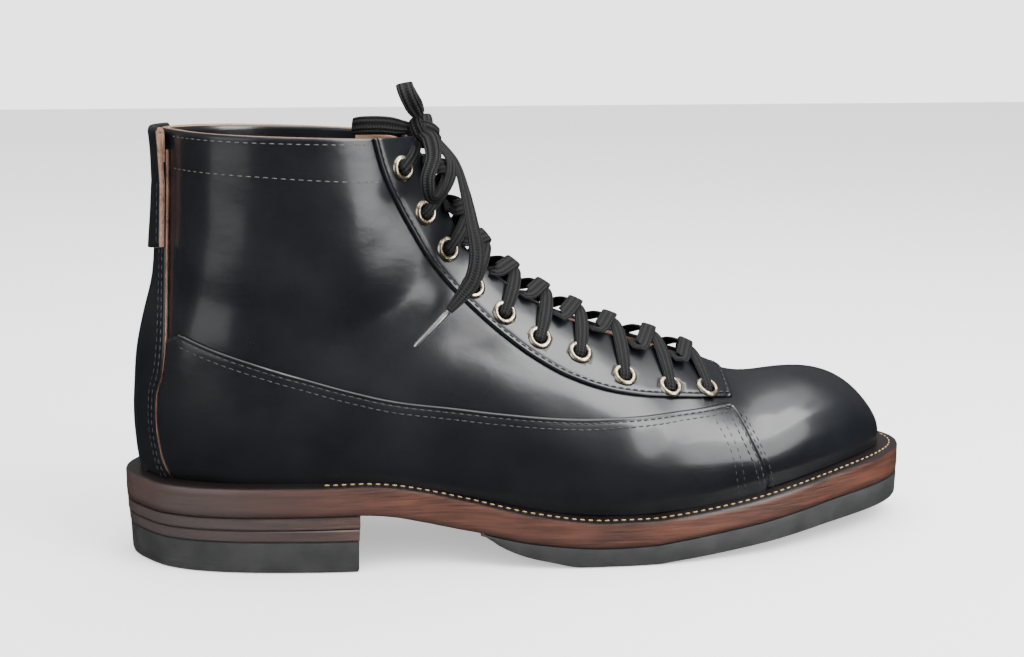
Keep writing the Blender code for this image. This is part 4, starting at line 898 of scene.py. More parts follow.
# Front edge of the back stay, up the back: up is the key here.
STAY_EDGE = (
    Seam(0.0680, 0.19), Seam(0.0540, 0.26), Seam(0.0500, 0.33), Seam(0.0525, 0.40), Seam(0.0605, 0.45),
    Seam(0.0665, 0.54), Seam(0.0680, 0.64), Seam(0.0708, 0.76), Seam(0.0745, 0.90), Seam(0.0765, 1.05),
)
FOXING_TOE_ROW = 7.05
SEAM_GAP = 0.0008
SEAM_DEPTH = 0.00022
PANEL_TIP = 0.04
PANEL_THICKNESS = 0.0013
foxing_top = np.vectorize(column(FOXING_SEAM, "along", "up", OUTSOLE_LENGTH, COLLAR_HEIGHT))
stay_front_at = np.vectorize(column(STAY_EDGE, "up", "along", COLLAR_HEIGHT, OUTSOLE_LENGTH))


def over_foxing(x, z):
    return z - foxing_top(x)


def past_stay(x, z):
    return x - stay_front_at(z)


def step_where(u, rule):
    """How far round plane u a seam is met."""
    return bisect(lambda s: rule(*side_view(u, s)) > 0, 0.0, 1.0)


def panel_closed(u):
    """Whether the panel's two edges meet on plane u, but for its blunt tip."""
    step_length = (fan(u, 0.26, 1) - fan(u, 0.25, 1)).length / 0.01
    return step_where(u, past_stay) + SEAM_GAP / step_length > step_where(u, over_foxing) - PANEL_TIP


def seam_v(rule, side, first, last, drop=0.0, count=220):
    """v of a seam on one side: where rule(x, z) is first above 0 on each plane, drop metres short of it."""
    keys = np.linspace(first, last, count)
    steps = np.linspace(0, 1, 241)
    u, s = np.meshgrid(keys, steps, indexing="ij")
    points, _ = skin(u, side * (1 - s))
    value = rule(points[..., 0] + HEEL_MIDDLE, points[..., 2])
    reach = np.concatenate([np.zeros((count, 1)),
                            np.cumsum(np.linalg.norm(np.diff(points, axis=1), axis=2), 1)], 1)
    values = np.zeros(count)
    for i in np.flatnonzero(value.max(1) > 0):
        past = max(int(np.argmax(value[i] > 0)), 1)
        a, b = value[i, past - 1], value[i, past]
        share = min(max(a / (a - b) if a != b else 0, 0), 1)
        met = steps[past - 1] + (steps[past] - steps[past - 1]) * share
        run = np.interp(met, steps, reach[i]) - drop
        values[i] = side * (1 - np.interp(run, reach[i], steps))
    return lambda u: float(np.interp(u, keys, values))


STAY_FOOT_ROW = bisect(lambda u: back_along(u) < stay_front_at(seat(0.0)) - 0.0001, 15.0, HEEL_ROW)
PANEL_LAST_ROW = bisect(panel_closed, HEEL_ROW, 22.0)
panel_rows = np.linspace(FOXING_TOE_ROW, PANEL_LAST_ROW, 130)
panel_top = {}
for side, word in ((-1, "outer"), (1, "inner")):
    panel_top[side] = seam_v(over_foxing, side, FOXING_TOE_ROW, PANEL_LAST_ROW)
    by_stay = seam_v(past_stay, side, STAY_FOOT_ROW, PANEL_LAST_ROW, -SEAM_GAP)
    bm = bmesh.new()
    cut_sheet(bm, panel_rows, side, lambda u: float(side) if u < STAY_FOOT_ROW else by_stay(u),
              panel_top[side], PANEL_THICKNESS, (0, 1), (0, SEAM_DEPTH), 30, PANEL_THICKNESS)
    bmesh.ops.remove_doubles(bm, verts=bm.verts, dist=0.00001)
    panel = place("foxing_" + word, bm, [panel_calf, dyed_edge, dyed_edge],
                  ["side_panel_" + word])
    thicken(panel, PANEL_THICKNESS - 0.00005, inside=1, edge=2)

# Eyestay: a long U of the same calf round the throat, punched for the eyelets and sewn down along its
# outer edge and across its foot.
EYESTAY_SEAM = (
    Seam(0.296, 1.080), Seam(0.317, 0.905), Seam(0.336, 0.820), Seam(0.349, 0.772), Seam(0.371, 0.698),
    Seam(0.396, 0.636), Seam(0.424, 0.580), Seam(0.456, 0.524), Seam(0.493, 0.470), Seam(0.538, 0.422),
    Seam(0.600, 0.383), Seam(0.676, 0.361), Seam(0.725, 0.352), Seam(0.760, 0.344), Seam(0.800, 0.336),
)
EYESTAY_THICKNESS = 0.0014
EYESTAY_PLANES_APART = 0.013
eyestay_low = np.vectorize(column(EYESTAY_SEAM, "along", "up", OUTSOLE_LENGTH, COLLAR_HEIGHT))


def over_eyestay(x, z):
    return z - eyestay_low(x)


eyestay_rows = np.r_[EYESTAY_ROW + np.array((0, 0.02, 0.045, 0.075, 0.11, 0.15, 0.19, 0.24)),
                     np.linspace(EYESTAY_ROW + 0.3, THROAT_ROW, 10), throat_curve,
                     np.linspace(throat_end + 0.1, COLLAR_ROW, 150)]
eyestay_v = {side: seam_v(over_eyestay, side, EYESTAY_ROW, COLLAR_ROW) for side in (-1, 1)}
bm = bmesh.new()
for side in (-1, 1):
    cut_sheet(bm, eyestay_rows, side, eyestay_v[side], throat(side), EYESTAY_THICKNESS, (1, open_above),
              (SEAM_DEPTH, 0), 14, EYESTAY_THICKNESS, EYESTAY_PLANES_APART)
bmesh.ops.remove_doubles(bm, verts=bm.verts, dist=0.00002)
punch(bm)
eyestay = place("lace_stay", bm, [black_calf, dyed_edge], ["eyestay"])
thicken(eyestay, EYESTAY_THICKNESS - 0.00005, inside=1, edge=1)

# Eyelets: rolled brass rings, ten to a side, set through eyestay and upper.
EYELET_OUTER = 0.0049
EYELET_HOLE = 0.0027
FACE = 0.0014
brass = Finish("aged_brass", Metallic=1.0)
tarnish = brass.ramp(brass.noise(0.0016, 4.0), 0.42, 0.68)
brass.set("Base Color", brass.mix(tarnish, (0.56, 0.49, 0.37), (0.21, 0.165, 0.11)))
brass.set("Roughness", tarnish * 0.22 + 0.22)
brass.bump(brass.noise(0.0012), 0.00004, 0.4)
ring_bm = bmesh.new()
profile = ((EYELET_HOLE - 0.0001, -0.0030), (EYELET_HOLE, 0.0002), (EYELET_HOLE + 0.00025, 0.00075),
           (EYELET_HOLE + 0.0008, 0.00108), (EYELET_HOLE + 0.0014, 0.00098), (EYELET_OUTER - 0.0002, 0.0004),
           (EYELET_OUTER, 0.00005), (EYELET_OUTER - 0.0002, -0.0002), (EYELET_HOLE + 0.0005, -0.0002),
           (EYELET_HOLE + 0.0004, -0.0030))
for side, u, s, spot, normal in eyelets:
    turn = Matrix.Translation(spot + normal * FACE) @ normal.to_track_quat("Z", "Y").to_matrix().to_4x4()
    ring = [ring_bm.verts.new((r, 0, z)) for r, z in profile]
    edges = [ring_bm.edges.new((ring[i], ring[(i + 1) % len(ring)])) for i in range(len(ring))]
    bmesh.ops.spin(ring_bm, geom=ring + edges, cent=(0, 0, 0), axis=(0, 0, 1), angle=2 * math.pi,
                   steps=32, use_duplicate=False, use_merge=True)
    own = {v for e in ring for f in e.link_faces for v in f.verts}
    grown = set()
    while grown != own:
        grown = set(own)
        own |= {v for w in grown for f in w.link_faces for v in f.verts}
    bmesh.ops.transform(ring_bm, matrix=turn, verts=list(own))
bmesh.ops.remove_doubles(ring_bm, verts=ring_bm.verts, dist=0.000002)
bmesh.ops.recalc_face_normals(ring_bm, faces=ring_bm.faces)
place("eyelet_rings", ring_bm, [brass],
      ["eyelet_%s_%02d" % (word, i) for word in ("outer", "inner") for i in range(1, 11)], 50)

# Back stay: a strip over the back seam. Its strap runs up over the collar's edge and folds back down
# outside itself as the pull loop, with raw tan edges.
LOOP_FOOT_ROW = 22.05
LOOP_SEWN_ROW = 23.1
STAY_TOP_ROW = 23.3
stay_rows = np.linspace(STAY_FOOT_ROW, STAY_TOP_ROW + 0.3, 110)
stay_front = {}
bm = bmesh.new()
for side in (-1, 1):
    stay_front[side] = seam_v(past_stay, side, STAY_FOOT_ROW, 24.5)
    cut_sheet(bm, stay_rows, side, foot_edge(side), stay_front[side], 0.0020, (0, 0.6), (0, 0.0002), 8, 0.002)
bmesh.ops.remove_doubles(bm, verts=bm.verts, dist=0.00002)
back_stay = place("back_strip", bm, [black_calf, raw_edge, raw_edge], ["back_stay"])
thicken(back_stay, 0.00195, inside=1, edge=2)

FOLD_ROW = 23.92
loop_path = [(u, 0.0042 + 0.0011 * min(max((u - LOOP_SEWN_ROW) / (FOLD_ROW - LOOP_SEWN_ROW), 0), 1) ** 0.8)
             for u in np.linspace(LOOP_FOOT_ROW, FOLD_ROW, 26)]
for angle in np.linspace(0.12, 0.88, 7) * math.pi:
    loop_path.append((FOLD_ROW + 0.14 * math.sin(angle), 0.00365 + 0.00165 * math.cos(angle)))
loop_path += [(u, 0.0020) for u in np.linspace(FOLD_ROW, STAY_TOP_ROW + 0.1, 7)]
STRAP_COLUMNS = 24
strap_points = []
for u, reach in loop_path:
    shares = np.linspace(-1, 1, STRAP_COLUMNS + 1)
    v = np.where(shares <= 0, -1 - shares * (stay_front[-1](u) + 1), 1 - shares * (1 - stay_front[1](u)))
    point, normal = skin(np.full(STRAP_COLUMNS + 1, u), v)
    strap_points.append(point + normal * reach)
bm = bmesh.new()
lay_grid(bm, np.array(strap_points))
bm.normal_update()
bm.faces.ensure_lookup_table()
outer_face = min(bm.faces, key=lambda f: f.calc_center_median().x)
if outer_face.normal.x > 0:
    bmesh.ops.reverse_faces(bm, faces=bm.faces)
strap = place("folded_strap", bm, [black_calf, raw_edge, raw_edge], ["pull_loop"])
thicken(strap, 0.0020, inside=1, edge=2)

# Tongue: soft calf under the throat, tan inside, sewn in at its foot. It widens from the foot up.
TONGUE_FOOT_ROW = 8.1
TONGUE_HALF = (0.0194, 0.0270)
TONGUE_WIDENS = 5.0
tongue_rows = np.r_[np.linspace(TONGUE_FOOT_ROW, 10.5, 18), np.linspace(10.7, COLLAR_ROW, 70)]


def tongue_edge(side):
    keys = np.linspace(TONGUE_FOOT_ROW, COLLAR_ROW, 50)
    values = []
    for k in keys:
        half = np.interp(k, (THROAT_ROW, THROAT_ROW + TONGUE_WIDENS), TONGUE_HALF)
        values.append(side * (1 - bisect(lambda s: half_width(k, climb(k, s), side) < half, 0.5, 1.0)))
    return lambda u: float(np.interp(u, keys, values))


bm = bmesh.new()
cut_sheet(bm, tongue_rows, -1, tongue_edge(-1), tongue_edge(1), -0.0050, count=36, thick=0.002)
tongue = place("soft_tongue", bm, [black_calf, lining, raw_edge], ["tongue"])
thicken(tongue, 0.0018, inside=1, edge=2)

# Collar facing: a black band sewn round the inside of the collar, over the tan lining.
bm = bmesh.new()
facing_rows = np.linspace(22.55, COLLAR_ROW - 0.03, 12)
for side in (-1, 1):
    cut_sheet(bm, facing_rows, side, foot_edge(side), lambda u: throat(side)(u) + side * 0.003, -0.0021,
              count=40)
bmesh.ops.remove_doubles(bm, verts=bm.verts, dist=0.00002)
facing = place("collar_facing", bm, [black_calf])
thicken(facing, 0.0006)


# Lace over the throat: from each near hole a strand rises over the stay and crosses to the far side's next
# hole up, and its twin from the far side crosses over it. The top pair goes up into the knot.
def over_throat(side, number):
    """Route of the strand that leaves this side's hole and ends at the far side's next hole up."""
    _, u0, s0, spot0, normal0 = eyelets[number + (0 if side < 0 else 10)]
    u1, s1 = eyelets[number - 1 + (10 if side < 0 else 0)][1:3]
    route = [(spot0 - normal0 * 0.0022, normal0), (spot0 + normal0 * 0.0016, normal0)]

    def over(u, v, height):
        point, normal = (Vector(k) for k in skin(u, v))
        route.append((point + normal * height, normal))

    rise = 0.0021 if side < 0 else 0.0036
    v0, v1 = side * (1 - s0), -side * (1 - s1)
    for share in (0.18, 0.36, 0.5, 0.64, 0.80):
        over(u0 + (u1 - u0) * share, v0 + (v1 - v0) * share, rise + 0.0014 * math.sin(math.pi * share))
    edge = throat(-side)(u1)
    over(u0 + (u1 - u0) * 0.93, edge, 0.0012)
    over(u1, edge - side * 0.004, -0.0030)
    return soft_line([(*p, *n) for p, n in route], 40)


bm = bmesh.new()
strand_widths = np.interp(np.linspace(0, 1, 40), (0, 0.10, 0.24, 0.5, 0.86, 1.0),
                          (0.0040, 0.0044, 0.0058, 0.0062, 0.0060, 0.0050))
for number in range(1, 10):
    for side in (1, -1):
        line = over_throat(side, number)
        flat_lace(bm, line[:, :3], line[:, 3:], strand_widths, around=12)
# Both top strands climb from their holes to the knot.
for side, _, _, spot, normal in (eyelets[0], eyelets[10]):
    near = KNOT + Vector((-0.0030, side * 0.0040, -0.0030))
    rise = [(spot - normal * 0.0022, normal), (spot + normal * 0.0018, normal),
            (spot + normal * 0.0030 + (near - spot) * 0.45, (normal + Vector((0.6, 0, 0.3))).normalized()),
            (near, Vector((0.5, side * 0.6, 0.4)).normalized())]
    line = soft_line([(*p, *n) for p, n in rise], 32)
    rising_widths = np.interp(np.linspace(0, 1, 32), (0, 0.3, 1), (0.0042, 0.0058, 0.0050))
    flat_lace(bm, line[:, :3], line[:, 3:], rising_widths, around=12)
place("lacing", bm, [lace_finish], ["lace_crossings"])


# Insole: a tan leather board inside, over the welt.
def outline(grow, count=96):
    """Low and high side of the sole's plan, and its two tips, grown by some metres."""
    points = []
    for i in range(count + 1):
        angle = math.pi * i / count
        x = HEEL_TIP + (TOE_TIP - HEEL_TIP) * (1 - math.cos(angle)) / 2
        points.append((x, plan_outer(angle), plan_inner(angle)))
    ring = [(x, a) for x, a, _ in points] + [(x, b) for x, _, b in points[1:-1]][::-1]
    ring = np.array(ring)
    along = np.roll(ring, -1, 0) - np.roll(ring, 1, 0)
    normal = np.stack([along[:, 1], -along[:, 0]], 1)
    normal /= np.linalg.norm(normal, axis=1)[:, None]
    far = np.array([margin(p[0]) for p in ring]) + grow
    ring = ring + normal * far[:, None]
    outer = ring[:count + 1]
    inner = np.vstack([ring[:1], ring[count + 1:][::-1], ring[count:count + 1]])
    heel, toe = outer[:, 0].min(), outer[:, 0].max()

    def angle(x):
        return np.arccos(1 - 2 * np.clip((x - heel) / (toe - heel), 0, 1))

    def edge(rows):
        keys = angle(rows[:, 0]) + np.arange(len(rows)) * 1e-7
        return lambda x: float(np.interp(angle(x), keys, rows[:, 1]))

    return edge(outer), edge(inner), heel, toe


def layer(name, finish, replaced, start, end, edges, flare=0.0, stations=120, across=10):
    """A layer of the sole from start to end: a top, a bottom, and a side that passes through edges."""
    full_heel, full_toe = start <= 0.002, end >= OUTSOLE_LENGTH - 0.002
    spots = []
    for grow, height in edges:
        low, high, heel, toe = outline(grow)
        first = heel if full_heel else start - grow
        last = toe if full_toe else end + grow
        level = []
        for i in range(stations + 1):
            s = i / stations
            if full_heel and full_toe:
                s = (1 - math.cos(math.pi * s)) / 2
            elif full_heel:
                s = 1 - math.cos(math.pi / 2 * s)
            elif full_toe:
                s = math.sin(math.pi / 2 * s)
            x = first + (last - first) * s
            wide = flare * (min(max(x, 0) / end, 1)) ** 3
            a, b = low(x) - wide, high(x) + wide
            level.append([(x - HEEL_MIDDLE, a + (b - a) * j / across, height(x)) for j in range(across + 1)])
        spots.append(np.array(level))
    bm = bmesh.new()
    depth = bm.verts.layers.float.new("depth")
    for level, deep in ((spots[0], 0.0), (spots[-1], 1.0)):
        for v, _, _ in lay_grid(bm, level):
            v[depth] = deep
    first_side = [(i, 0) for i in range(stations + 1)]
    second_side = [(i, across) for i in range(stations, -1, -1)]
    front = [(stations, j) for j in range(1, across)]
    back = [(0, j) for j in range(across - 1, -1, -1)]
    ring = tuple(np.array(first_side + front + second_side + back).T)
    wall = np.array([level[ring] for level in spots])
    for v, m, k in lay_grid(bm, wall):
        top, bottom = wall[0, k, 2], wall[-1, k, 2]
        v[depth] = (top - v.co.z) / max(top - bottom, 1e-6)
    bmesh.ops.remove_doubles(bm, verts=bm.verts, dist=0.000004)
    bmesh.ops.dissolve_degenerate(bm, edges=bm.edges, dist=0.000002)
    bmesh.ops.recalc_face_normals(bm, faces=bm.faces)
    return place(name, bm, [finish], replaced, 32)


insole_leather = Finish("insole_leather", Roughness=0.7)
insole_leather.tint(insole_leather.noise(0.02, 5.0), 0.4, 0.65, (0.30, 0.18, 0.10), (0.50, 0.33, 0.21))
insole_leather.bump(insole_leather.noise(0.0009, 4.0), 0.0003, 0.5)
INSIDE = -0.0120
layer("insole_board", insole_leather, ["insole"], 0.0, OUTSOLE_LENGTH,
      [(INSIDE - 0.0006, lambda x: seat(x) + 0.0036), (INSIDE, lambda x: seat(x) + 0.0032),
       (INSIDE, lambda x: seat(x) + 0.0004)], stations=80)

# Welt and midsole: veg-tanned leather, stitched together from the heel's breast round the toe, edge trimmed
# flat, stained red-brown and waxed. The welt's top is nearly black, with a burnished lip.
def edge_leather(name, top, body, foot, rough):
    """A stained, waxed leather edge that darkens toward its top and foot."""
    made = Finish(name, Coat_Weight=0.25, Coat_Roughness=0.22)
    down = made.node("ShaderNodeAttribute", {"attribute_name": "depth"}, {}, 2)
    streak = made.noise(0.0030, 5.0, (7.0, 7.0, 0.28), 0.65)
    patch = made.noise(0.016, 4.0, (1.6, 1.6, 0.5))
    where = made.node("ShaderNodeTexCoord", {}, {}, 3)
    ahead = made.ramp(made.node("ShaderNodeSeparateXYZ", {}, {0: where}, 0), -0.005, 0.060) * 0.75 + 0.25
    stain = made.ramp(streak * 0.70 + patch * 0.45, 0.42, 0.74) * ahead
    body_color = made.mix(stain, made.mix(ahead, (0.036, 0.031, 0.031), body[0]), body[1])
    wavy = down + (patch - 0.5) * 0.25
    lower = made.mix(made.ramp(wavy, foot[0], foot[1]), body_color, foot[2])
    made.set("Base Color", made.mix(made.ramp(wavy, top[0], top[1]), top[2], lower))
    made.set("Roughness", made.ramp(streak, 0.3, 0.8) * 0.22 + rough)
    made.bump(streak * 0.8 + made.noise(0.0006) * 0.25, 0.00022, 0.6)
    return made


BURGUNDY = ((0.0300, 0.0150, 0.0115), (0.100, 0.0320, 0.0180))
welt_finish = edge_leather("welt_leather", (0.03, 0.20, (0.0095, 0.0065, 0.0065)), BURGUNDY,
                           (2.0, 3.0, (0.01, 0.01, 0.01)), 0.26)
mid_finish = edge_leather("midsole_leather", (-2.0, -1.0, (0.01, 0.01, 0.01)), BURGUNDY,
                          (0.62, 1.02, (0.016, 0.0085, 0.0075)), 0.28)
WELT_THICKNESS = 0.0036
under_welt = lambda x: seat(x) - WELT_THICKNESS
layer("welt_strip", welt_finish, ["welt"], 0.0, OUTSOLE_LENGTH,
      [(-0.0016, seat), (-0.0009, lambda x: seat(x) - 0.00005), (-0.0003, lambda x: seat(x) - 0.00035),
       (0.0, lambda x: seat(x) - 0.0010), (0.0, lambda x: seat(x) - 0.0028), (-0.00002, under_welt),
       (-0.0012, lambda x: under_welt(x) - 0.00001)], stations=170)
layer("midsole_board", mid_finish, ["midsole"], 0.0, OUTSOLE_LENGTH,
      [(-0.0012, lambda x: under_welt(x) - 0.00002), (-0.00002, lambda x: under_welt(x) - 0.00003),
       (0.00002, lambda x: under_welt(x) - 0.0008),
       (0.0001, lambda x: (under_welt(x) + border(x)) / 2), (-0.00005, lambda x: border(x) + 0.0006),
       (-0.0004, lambda x: border(x) + 0.0001), (-0.0014, lambda x: border(x))], stations=170)

# Rubber half sole under the forepart, and the heel: two leather lifts nailed under the seat and a rubber
# top lift, all trimmed together. Stain and wax make the lifts nearly black with red-brown streaks.
rubber = Finish("black_rubber")
rubber_cloud = rubber.noise(0.010, 4.0)
rubber.tint(rubber_cloud, 0.35, 0.7, (0.0200, 0.0202, 0.0208), (0.0270, 0.0272, 0.0278))
rubber.set("Roughness", rubber.ramp(rubber_cloud, 0.3, 0.7) * 0.14 + 0.46)
rubber.bump(rubber.noise(0.0005, 4.0, (3.0, 3.0, 0.6)) + rubber.noise(0.004) * 0.5, 0.00018, 0.6)
HALF_SOLE_START = 0.1330
layer("rubber_half_sole", rubber, ["half_sole"], HALF_SOLE_START, OUTSOLE_LENGTH,
      [(-0.0012, lambda x: border(x) - 0.0001), (-0.0001, lambda x: border(x) - 0.00035),
       (0.0, lambda x: border(x) - 0.0009), (-0.0002, lambda x: ground(x) + 0.0014),
       (-0.0008, lambda x: ground(x) + 0.0003), (-0.0016, ground)], stations=110, across=14)
stack = edge_leather("stacked_lifts", (-0.2, 0.18, (0.0125, 0.0095, 0.0090)),
                     ((0.0200, 0.0160, 0.0155), (0.090, 0.0400, 0.0300)),
                     (0.80, 1.05, (0.010, 0.0085, 0.0085)), 0.30)
HEEL_BREAST = 0.0886
HEEL_RUBBER = 0.0122
HEEL_FLARE = 0.0018
heel_top = border(0.0) - 0.0003
seam_height = (heel_top + HEEL_RUBBER) / 2
flat = lambda z: (lambda x: z)
layer("leather_lift_upper", stack, ["heel_lift_1"], 0.0, HEEL_BREAST,
      [(-0.0008, lambda x: border(x) - 0.0001), (-0.00015, lambda x: border(x) - 0.0004),
       (-0.0002, flat(seam_height + 0.0005)), (-0.0006, flat(seam_height + 0.00012))],
      HEEL_FLARE / 2, 60)
layer("leather_lift_lower", stack, ["heel_lift_2"], 0.0, HEEL_BREAST,
      [(-0.0009, flat(seam_height - 0.00002)), (-0.0004, flat(seam_height - 0.0004)),
       (-0.0006, flat(HEEL_RUBBER + 0.0006)), (-0.0010, flat(HEEL_RUBBER + 0.00015))],
      HEEL_FLARE, 60)
layer("rubber_top_lift", rubber, ["heel_top_lift"], 0.0, HEEL_BREAST,
      [(-0.0013, flat(HEEL_RUBBER)), (-0.0008, flat(HEEL_RUBBER - 0.0004)), (-0.0010, flat(0.0016)),
       (-0.0014, flat(0.0003)), (-0.0022, flat(0.0))], HEEL_FLARE, 60)


# Seams: waxed linen thread, gold on the welt, black on the upper and a dull grey round the collar. Each
# stitch is a short bead of thread that dips into its holes at both ends.
thread_kinds = {
    "gold_thread": ((0.27, 0.175, 0.075), (0.46, 0.33, 0.165), 0.50),
    "black_thread": ((0.010, 0.010, 0.012), (0.042, 0.042, 0.046), 0.48),
    "grey_thread": ((0.030, 0.030, 0.031), (0.095, 0.093, 0.090), 0.5),
}
stitch_bms = {name: bmesh.new() for name in thread_kinds}


def sew(kind, points, normals, length=0.0022, gap=0.0007, thick=0.00055):
    """Lay stitches along a line of points."""
    points, normals = np.asarray(points), np.asarray(normals)
    run = np.r_[0, np.cumsum(np.linalg.norm(np.diff(points, axis=0), axis=1))]
    count = int(run[-1] / (length + gap))
    for i in range(count):
        mid = (i + 0.5) * run[-1] / count
        a, p, b = (np.array([np.interp(mid + d, run, points[:, k]) for k in range(3)])
                   for d in (-length / 2, 0.0, length / 2))
        n = Vector([np.interp(mid, run, normals[:, k]) for k in range(3)]).normalized()
        along = Vector(b - a).normalized()
        across = n.cross(along).normalized()
        turn = Matrix((along, across, along.cross(across))).transposed().to_4x4()
        shape = Matrix.Diagonal((length / 2, thick / 2, thick * 0.42, 1.0))
        bmesh.ops.create_uvsphere(stitch_bms[kind], u_segments=6, v_segments=4, radius=1.0,
                                  matrix=Matrix.Translation(p) @ turn @ shape)


def seam_line(us, vs, lift, inset=0.0, toward=1.0):
    """Points on the last for a row of stitches, moved sideways by inset metres toward higher v."""
    us, vs = np.asarray(us, float), np.asarray(vs, float)
    p, n = skin(us, vs)
    if inset:
        aside = np.cross(np.gradient(p, axis=0), n)
        aside /= np.maximum(np.linalg.norm(aside, axis=1), 1e-9)[:, None]
        p = p + aside * inset * toward
    return p + n * lift, n


for side in (-1, 1):
    for first, last, count, edge, lift, insets, toward in (
            (FOXING_TOE_ROW + 0.02, PANEL_LAST_ROW - 0.05, 220, panel_top, 0.0013,
             (SEAM_ROW, SEAM_ROW + 0.0024), side),
            (EYESTAY_ROW + 0.02, COLLAR_ROW - 0.05, 220, eyestay_v, 0.0014, (SEAM_ROW,), -side),
            (STAY_FOOT_ROW + 0.2, LOOP_FOOT_ROW, 120, stay_front, 0.0021,
             (SEAM_ROW, SEAM_ROW + 0.0022), side),
            (LOOP_FOOT_ROW + 0.05, LOOP_SEWN_ROW, 30, stay_front, 0.0044, (SEAM_ROW,), side)):
        us = np.linspace(first, last, count)
        for inset in insets:
            sew("black_thread", *seam_line(us, [edge[side](u) for u in us], lift, inset, toward))
    # Collar: one row under the rim and one lower down, both from the stay to the eyestay.
    for below in (0.0022, 0.0160):
        line_u, line_v = [], []
        for step in np.linspace(0.02, 0.98, 120):
            row_height = side_view(COLLAR_ROW, step)[1] - below
            u = bisect(lambda k: side_view(k, step)[1] > row_height, 18.0, COLLAR_ROW)
            if past_stay(*side_view(u, step)) > 0.001 and step < step_where(u, over_eyestay) - 0.01:
                line_u.append(u)
                line_v.append(side * (1 - step))
        sew("grey_thread", *seam_line(line_u, line_v, 0.0002), 0.0021, 0.0009, 0.00048)
# The seam behind the toe: two rows along the panel's front edge and two more where the lining's toe ends.
TOE_SEAMS = (
    ((0.2369, 0.0518), (0.2406, 0.0428), (0.2447, 0.0332), (0.2478, 0.0230)),
    ((0.2334, 0.0517), (0.2372, 0.0428), (0.2412, 0.0333), (0.2440, 0.0230)),
    ((0.2275, 0.0503), (0.2328, 0.0384), (0.2364, 0.0225)),
    ((0.2244, 0.0504), (0.2299, 0.0383), (0.2336, 0.0225)),
)
for side in (-1, 1):
    for seam in TOE_SEAMS:
        line = soft_line([(*k, 0.0) for k in seam], 40)
        spots = np.array([locate(x, max(z, seat(x) + 0.0004)) for x, z, _ in line])
        sew("black_thread", *seam_line(spots[:, 0], side * (1 - spots[:, 1]), 0.0012))
# The eyestay's front edge, across the vamp.
front_v = [eyestay_v[side](EYESTAY_ROW + 0.15) - side * 0.02 for side in (-1, 1)]
front_row = EYESTAY_ROW + SEAM_ROW / EYESTAY_PLANES_APART
sew("black_thread", *seam_line(np.full(80, front_row), np.linspace(*front_v, 80), 0.0014))
# Welt stitches run from the heel's breast round the toe and back, close to the upper.
WELT_SEWN_FROM = 0.074
low, high, heel, toe = outline(-0.0034, 140)
angles = np.linspace(0, math.pi, 200)
welt_line = []
for edge, turn in ((low, angles), (high, angles[-2::-1])):
    for x in heel + (toe - heel) * (1 - np.cos(turn)) / 2:
        if x > WELT_SEWN_FROM:
            welt_line.append((x - HEEL_MIDDLE, edge(x), seat(x) + 0.0001))
welt_up = np.tile((0.0, 0.0, 1.0), (len(welt_line), 1))
sew("gold_thread", np.array(welt_line), welt_up, 0.0021, 0.0010, 0.00062)
for name, (dark, light, rough) in thread_kinds.items():
    thread = Finish(name, Roughness=rough)
    twist = thread.noise(0.0004, 3.0)
    thread.tint(twist, 0.35, 0.65, dark, light)
    thread.bump(twist, 0.0001, 0.6)
    place(name, stitch_bms[name], [thread], sharp=60)


# Floor and light: a plain pale floor, a large soft light overhead and two to the sides.
bm = bmesh.new()
bmesh.ops.create_grid(bm, x_segments=1, y_segments=1, size=3.0)
floor_finish = Finish("pale_floor", Roughness=0.6)
floor_finish.shader.inputs["Base Color"].default_value = (0.93, 0.93, 0.93, 1.0)
floor_finish.shader.inputs["Emission Color"].default_value = (1.0, 1.0, 1.0, 1.0)
floor_finish.shader.inputs["Emission Strength"].default_value = 0.5
floor = place("floor", bm, [floor_finish], rides=False)


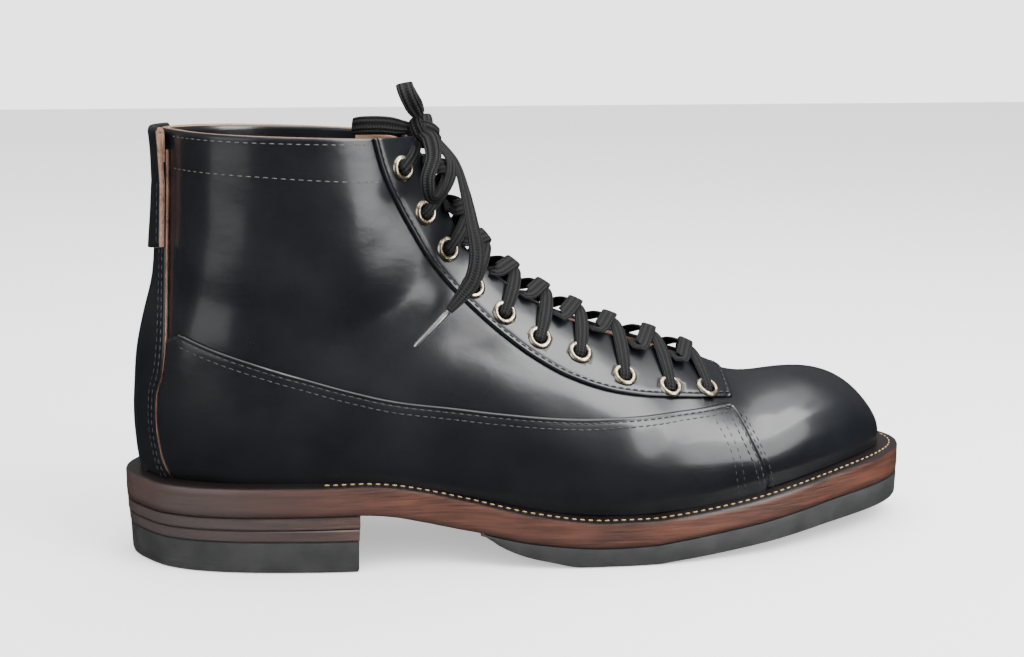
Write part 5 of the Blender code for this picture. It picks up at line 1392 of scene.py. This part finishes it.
def softbox(name, where, at, size, height, power):
    light = bpy.data.lights.new(name, "AREA")
    light.shape = "RECTANGLE"
    light.size = size
    light.size_y = height
    light.energy = power
    lamp = bpy.data.objects.new(name, light)
    bpy.context.scene.collection.objects.link(lamp)
    lamp.location = where
    lamp.rotation_euler = (Vector(at) - Vector(where)).to_track_quat("-Z", "Y").to_euler()


softbox("overhead", (0.15, 0.05, 1.10), (0.08, 0.0, 0.0), 1.1, 1.1, 16.0)
softbox("wide_left", (-0.95, -0.95, 0.50), (0.0, 0.0, 0.08), 1.15, 1.1, 5.5)
softbox("tall_right", (0.84, -0.76, 0.40), (0.10, 0.0, 0.07), 0.60, 0.8, 9.0)
softbox("instep", (0.62, -0.38, 0.78), (0.08, 0.0, 0.08), 0.50, 0.5, 9.0)
# The room is white, but its reflection in gloss is that of a dim room that is lighter overhead.
world = bpy.data.worlds.new("studio")
world.use_nodes = True
room = world.node_tree
white = room.nodes["Background"]
white.inputs["Color"].default_value = (1.0, 1.0, 1.0, 1.0)
dim = room.nodes.new("ShaderNodeBackground")
height = room.nodes.new("ShaderNodeSeparateXYZ")
direction = room.nodes.new("ShaderNodeTexCoord")
fade = room.nodes.new("ShaderNodeMapRange")
rays = room.nodes.new("ShaderNodeLightPath")
seen = room.nodes.new("ShaderNodeMapRange")
seen.inputs["To Min"].default_value = 1.5
seen.inputs["To Max"].default_value = 2.9
room.links.new(rays.outputs["Is Camera Ray"], seen.inputs["Value"])
room.links.new(seen.outputs["Result"], white.inputs["Strength"])
choose = room.nodes.new("ShaderNodeMixShader")
room.links.new(direction.outputs["Generated"], height.inputs[0])
room.links.new(height.outputs["Z"], fade.inputs["Value"])
for socket, value in (("From Min", -0.1), ("From Max", 0.9), ("To Min", 0.03), ("To Max", 0.45)):
    fade.inputs[socket].default_value = value
room.links.new(fade.outputs["Result"], dim.inputs["Strength"])
room.links.new(rays.outputs["Is Glossy Ray"], choose.inputs[0])
room.links.new(white.outputs[0], choose.inputs[1])
room.links.new(dim.outputs[0], choose.inputs[2])
room.links.new(choose.outputs[0], room.nodes["World Output"].inputs[0])
bpy.context.scene.world = world
floor.visible_glossy = False
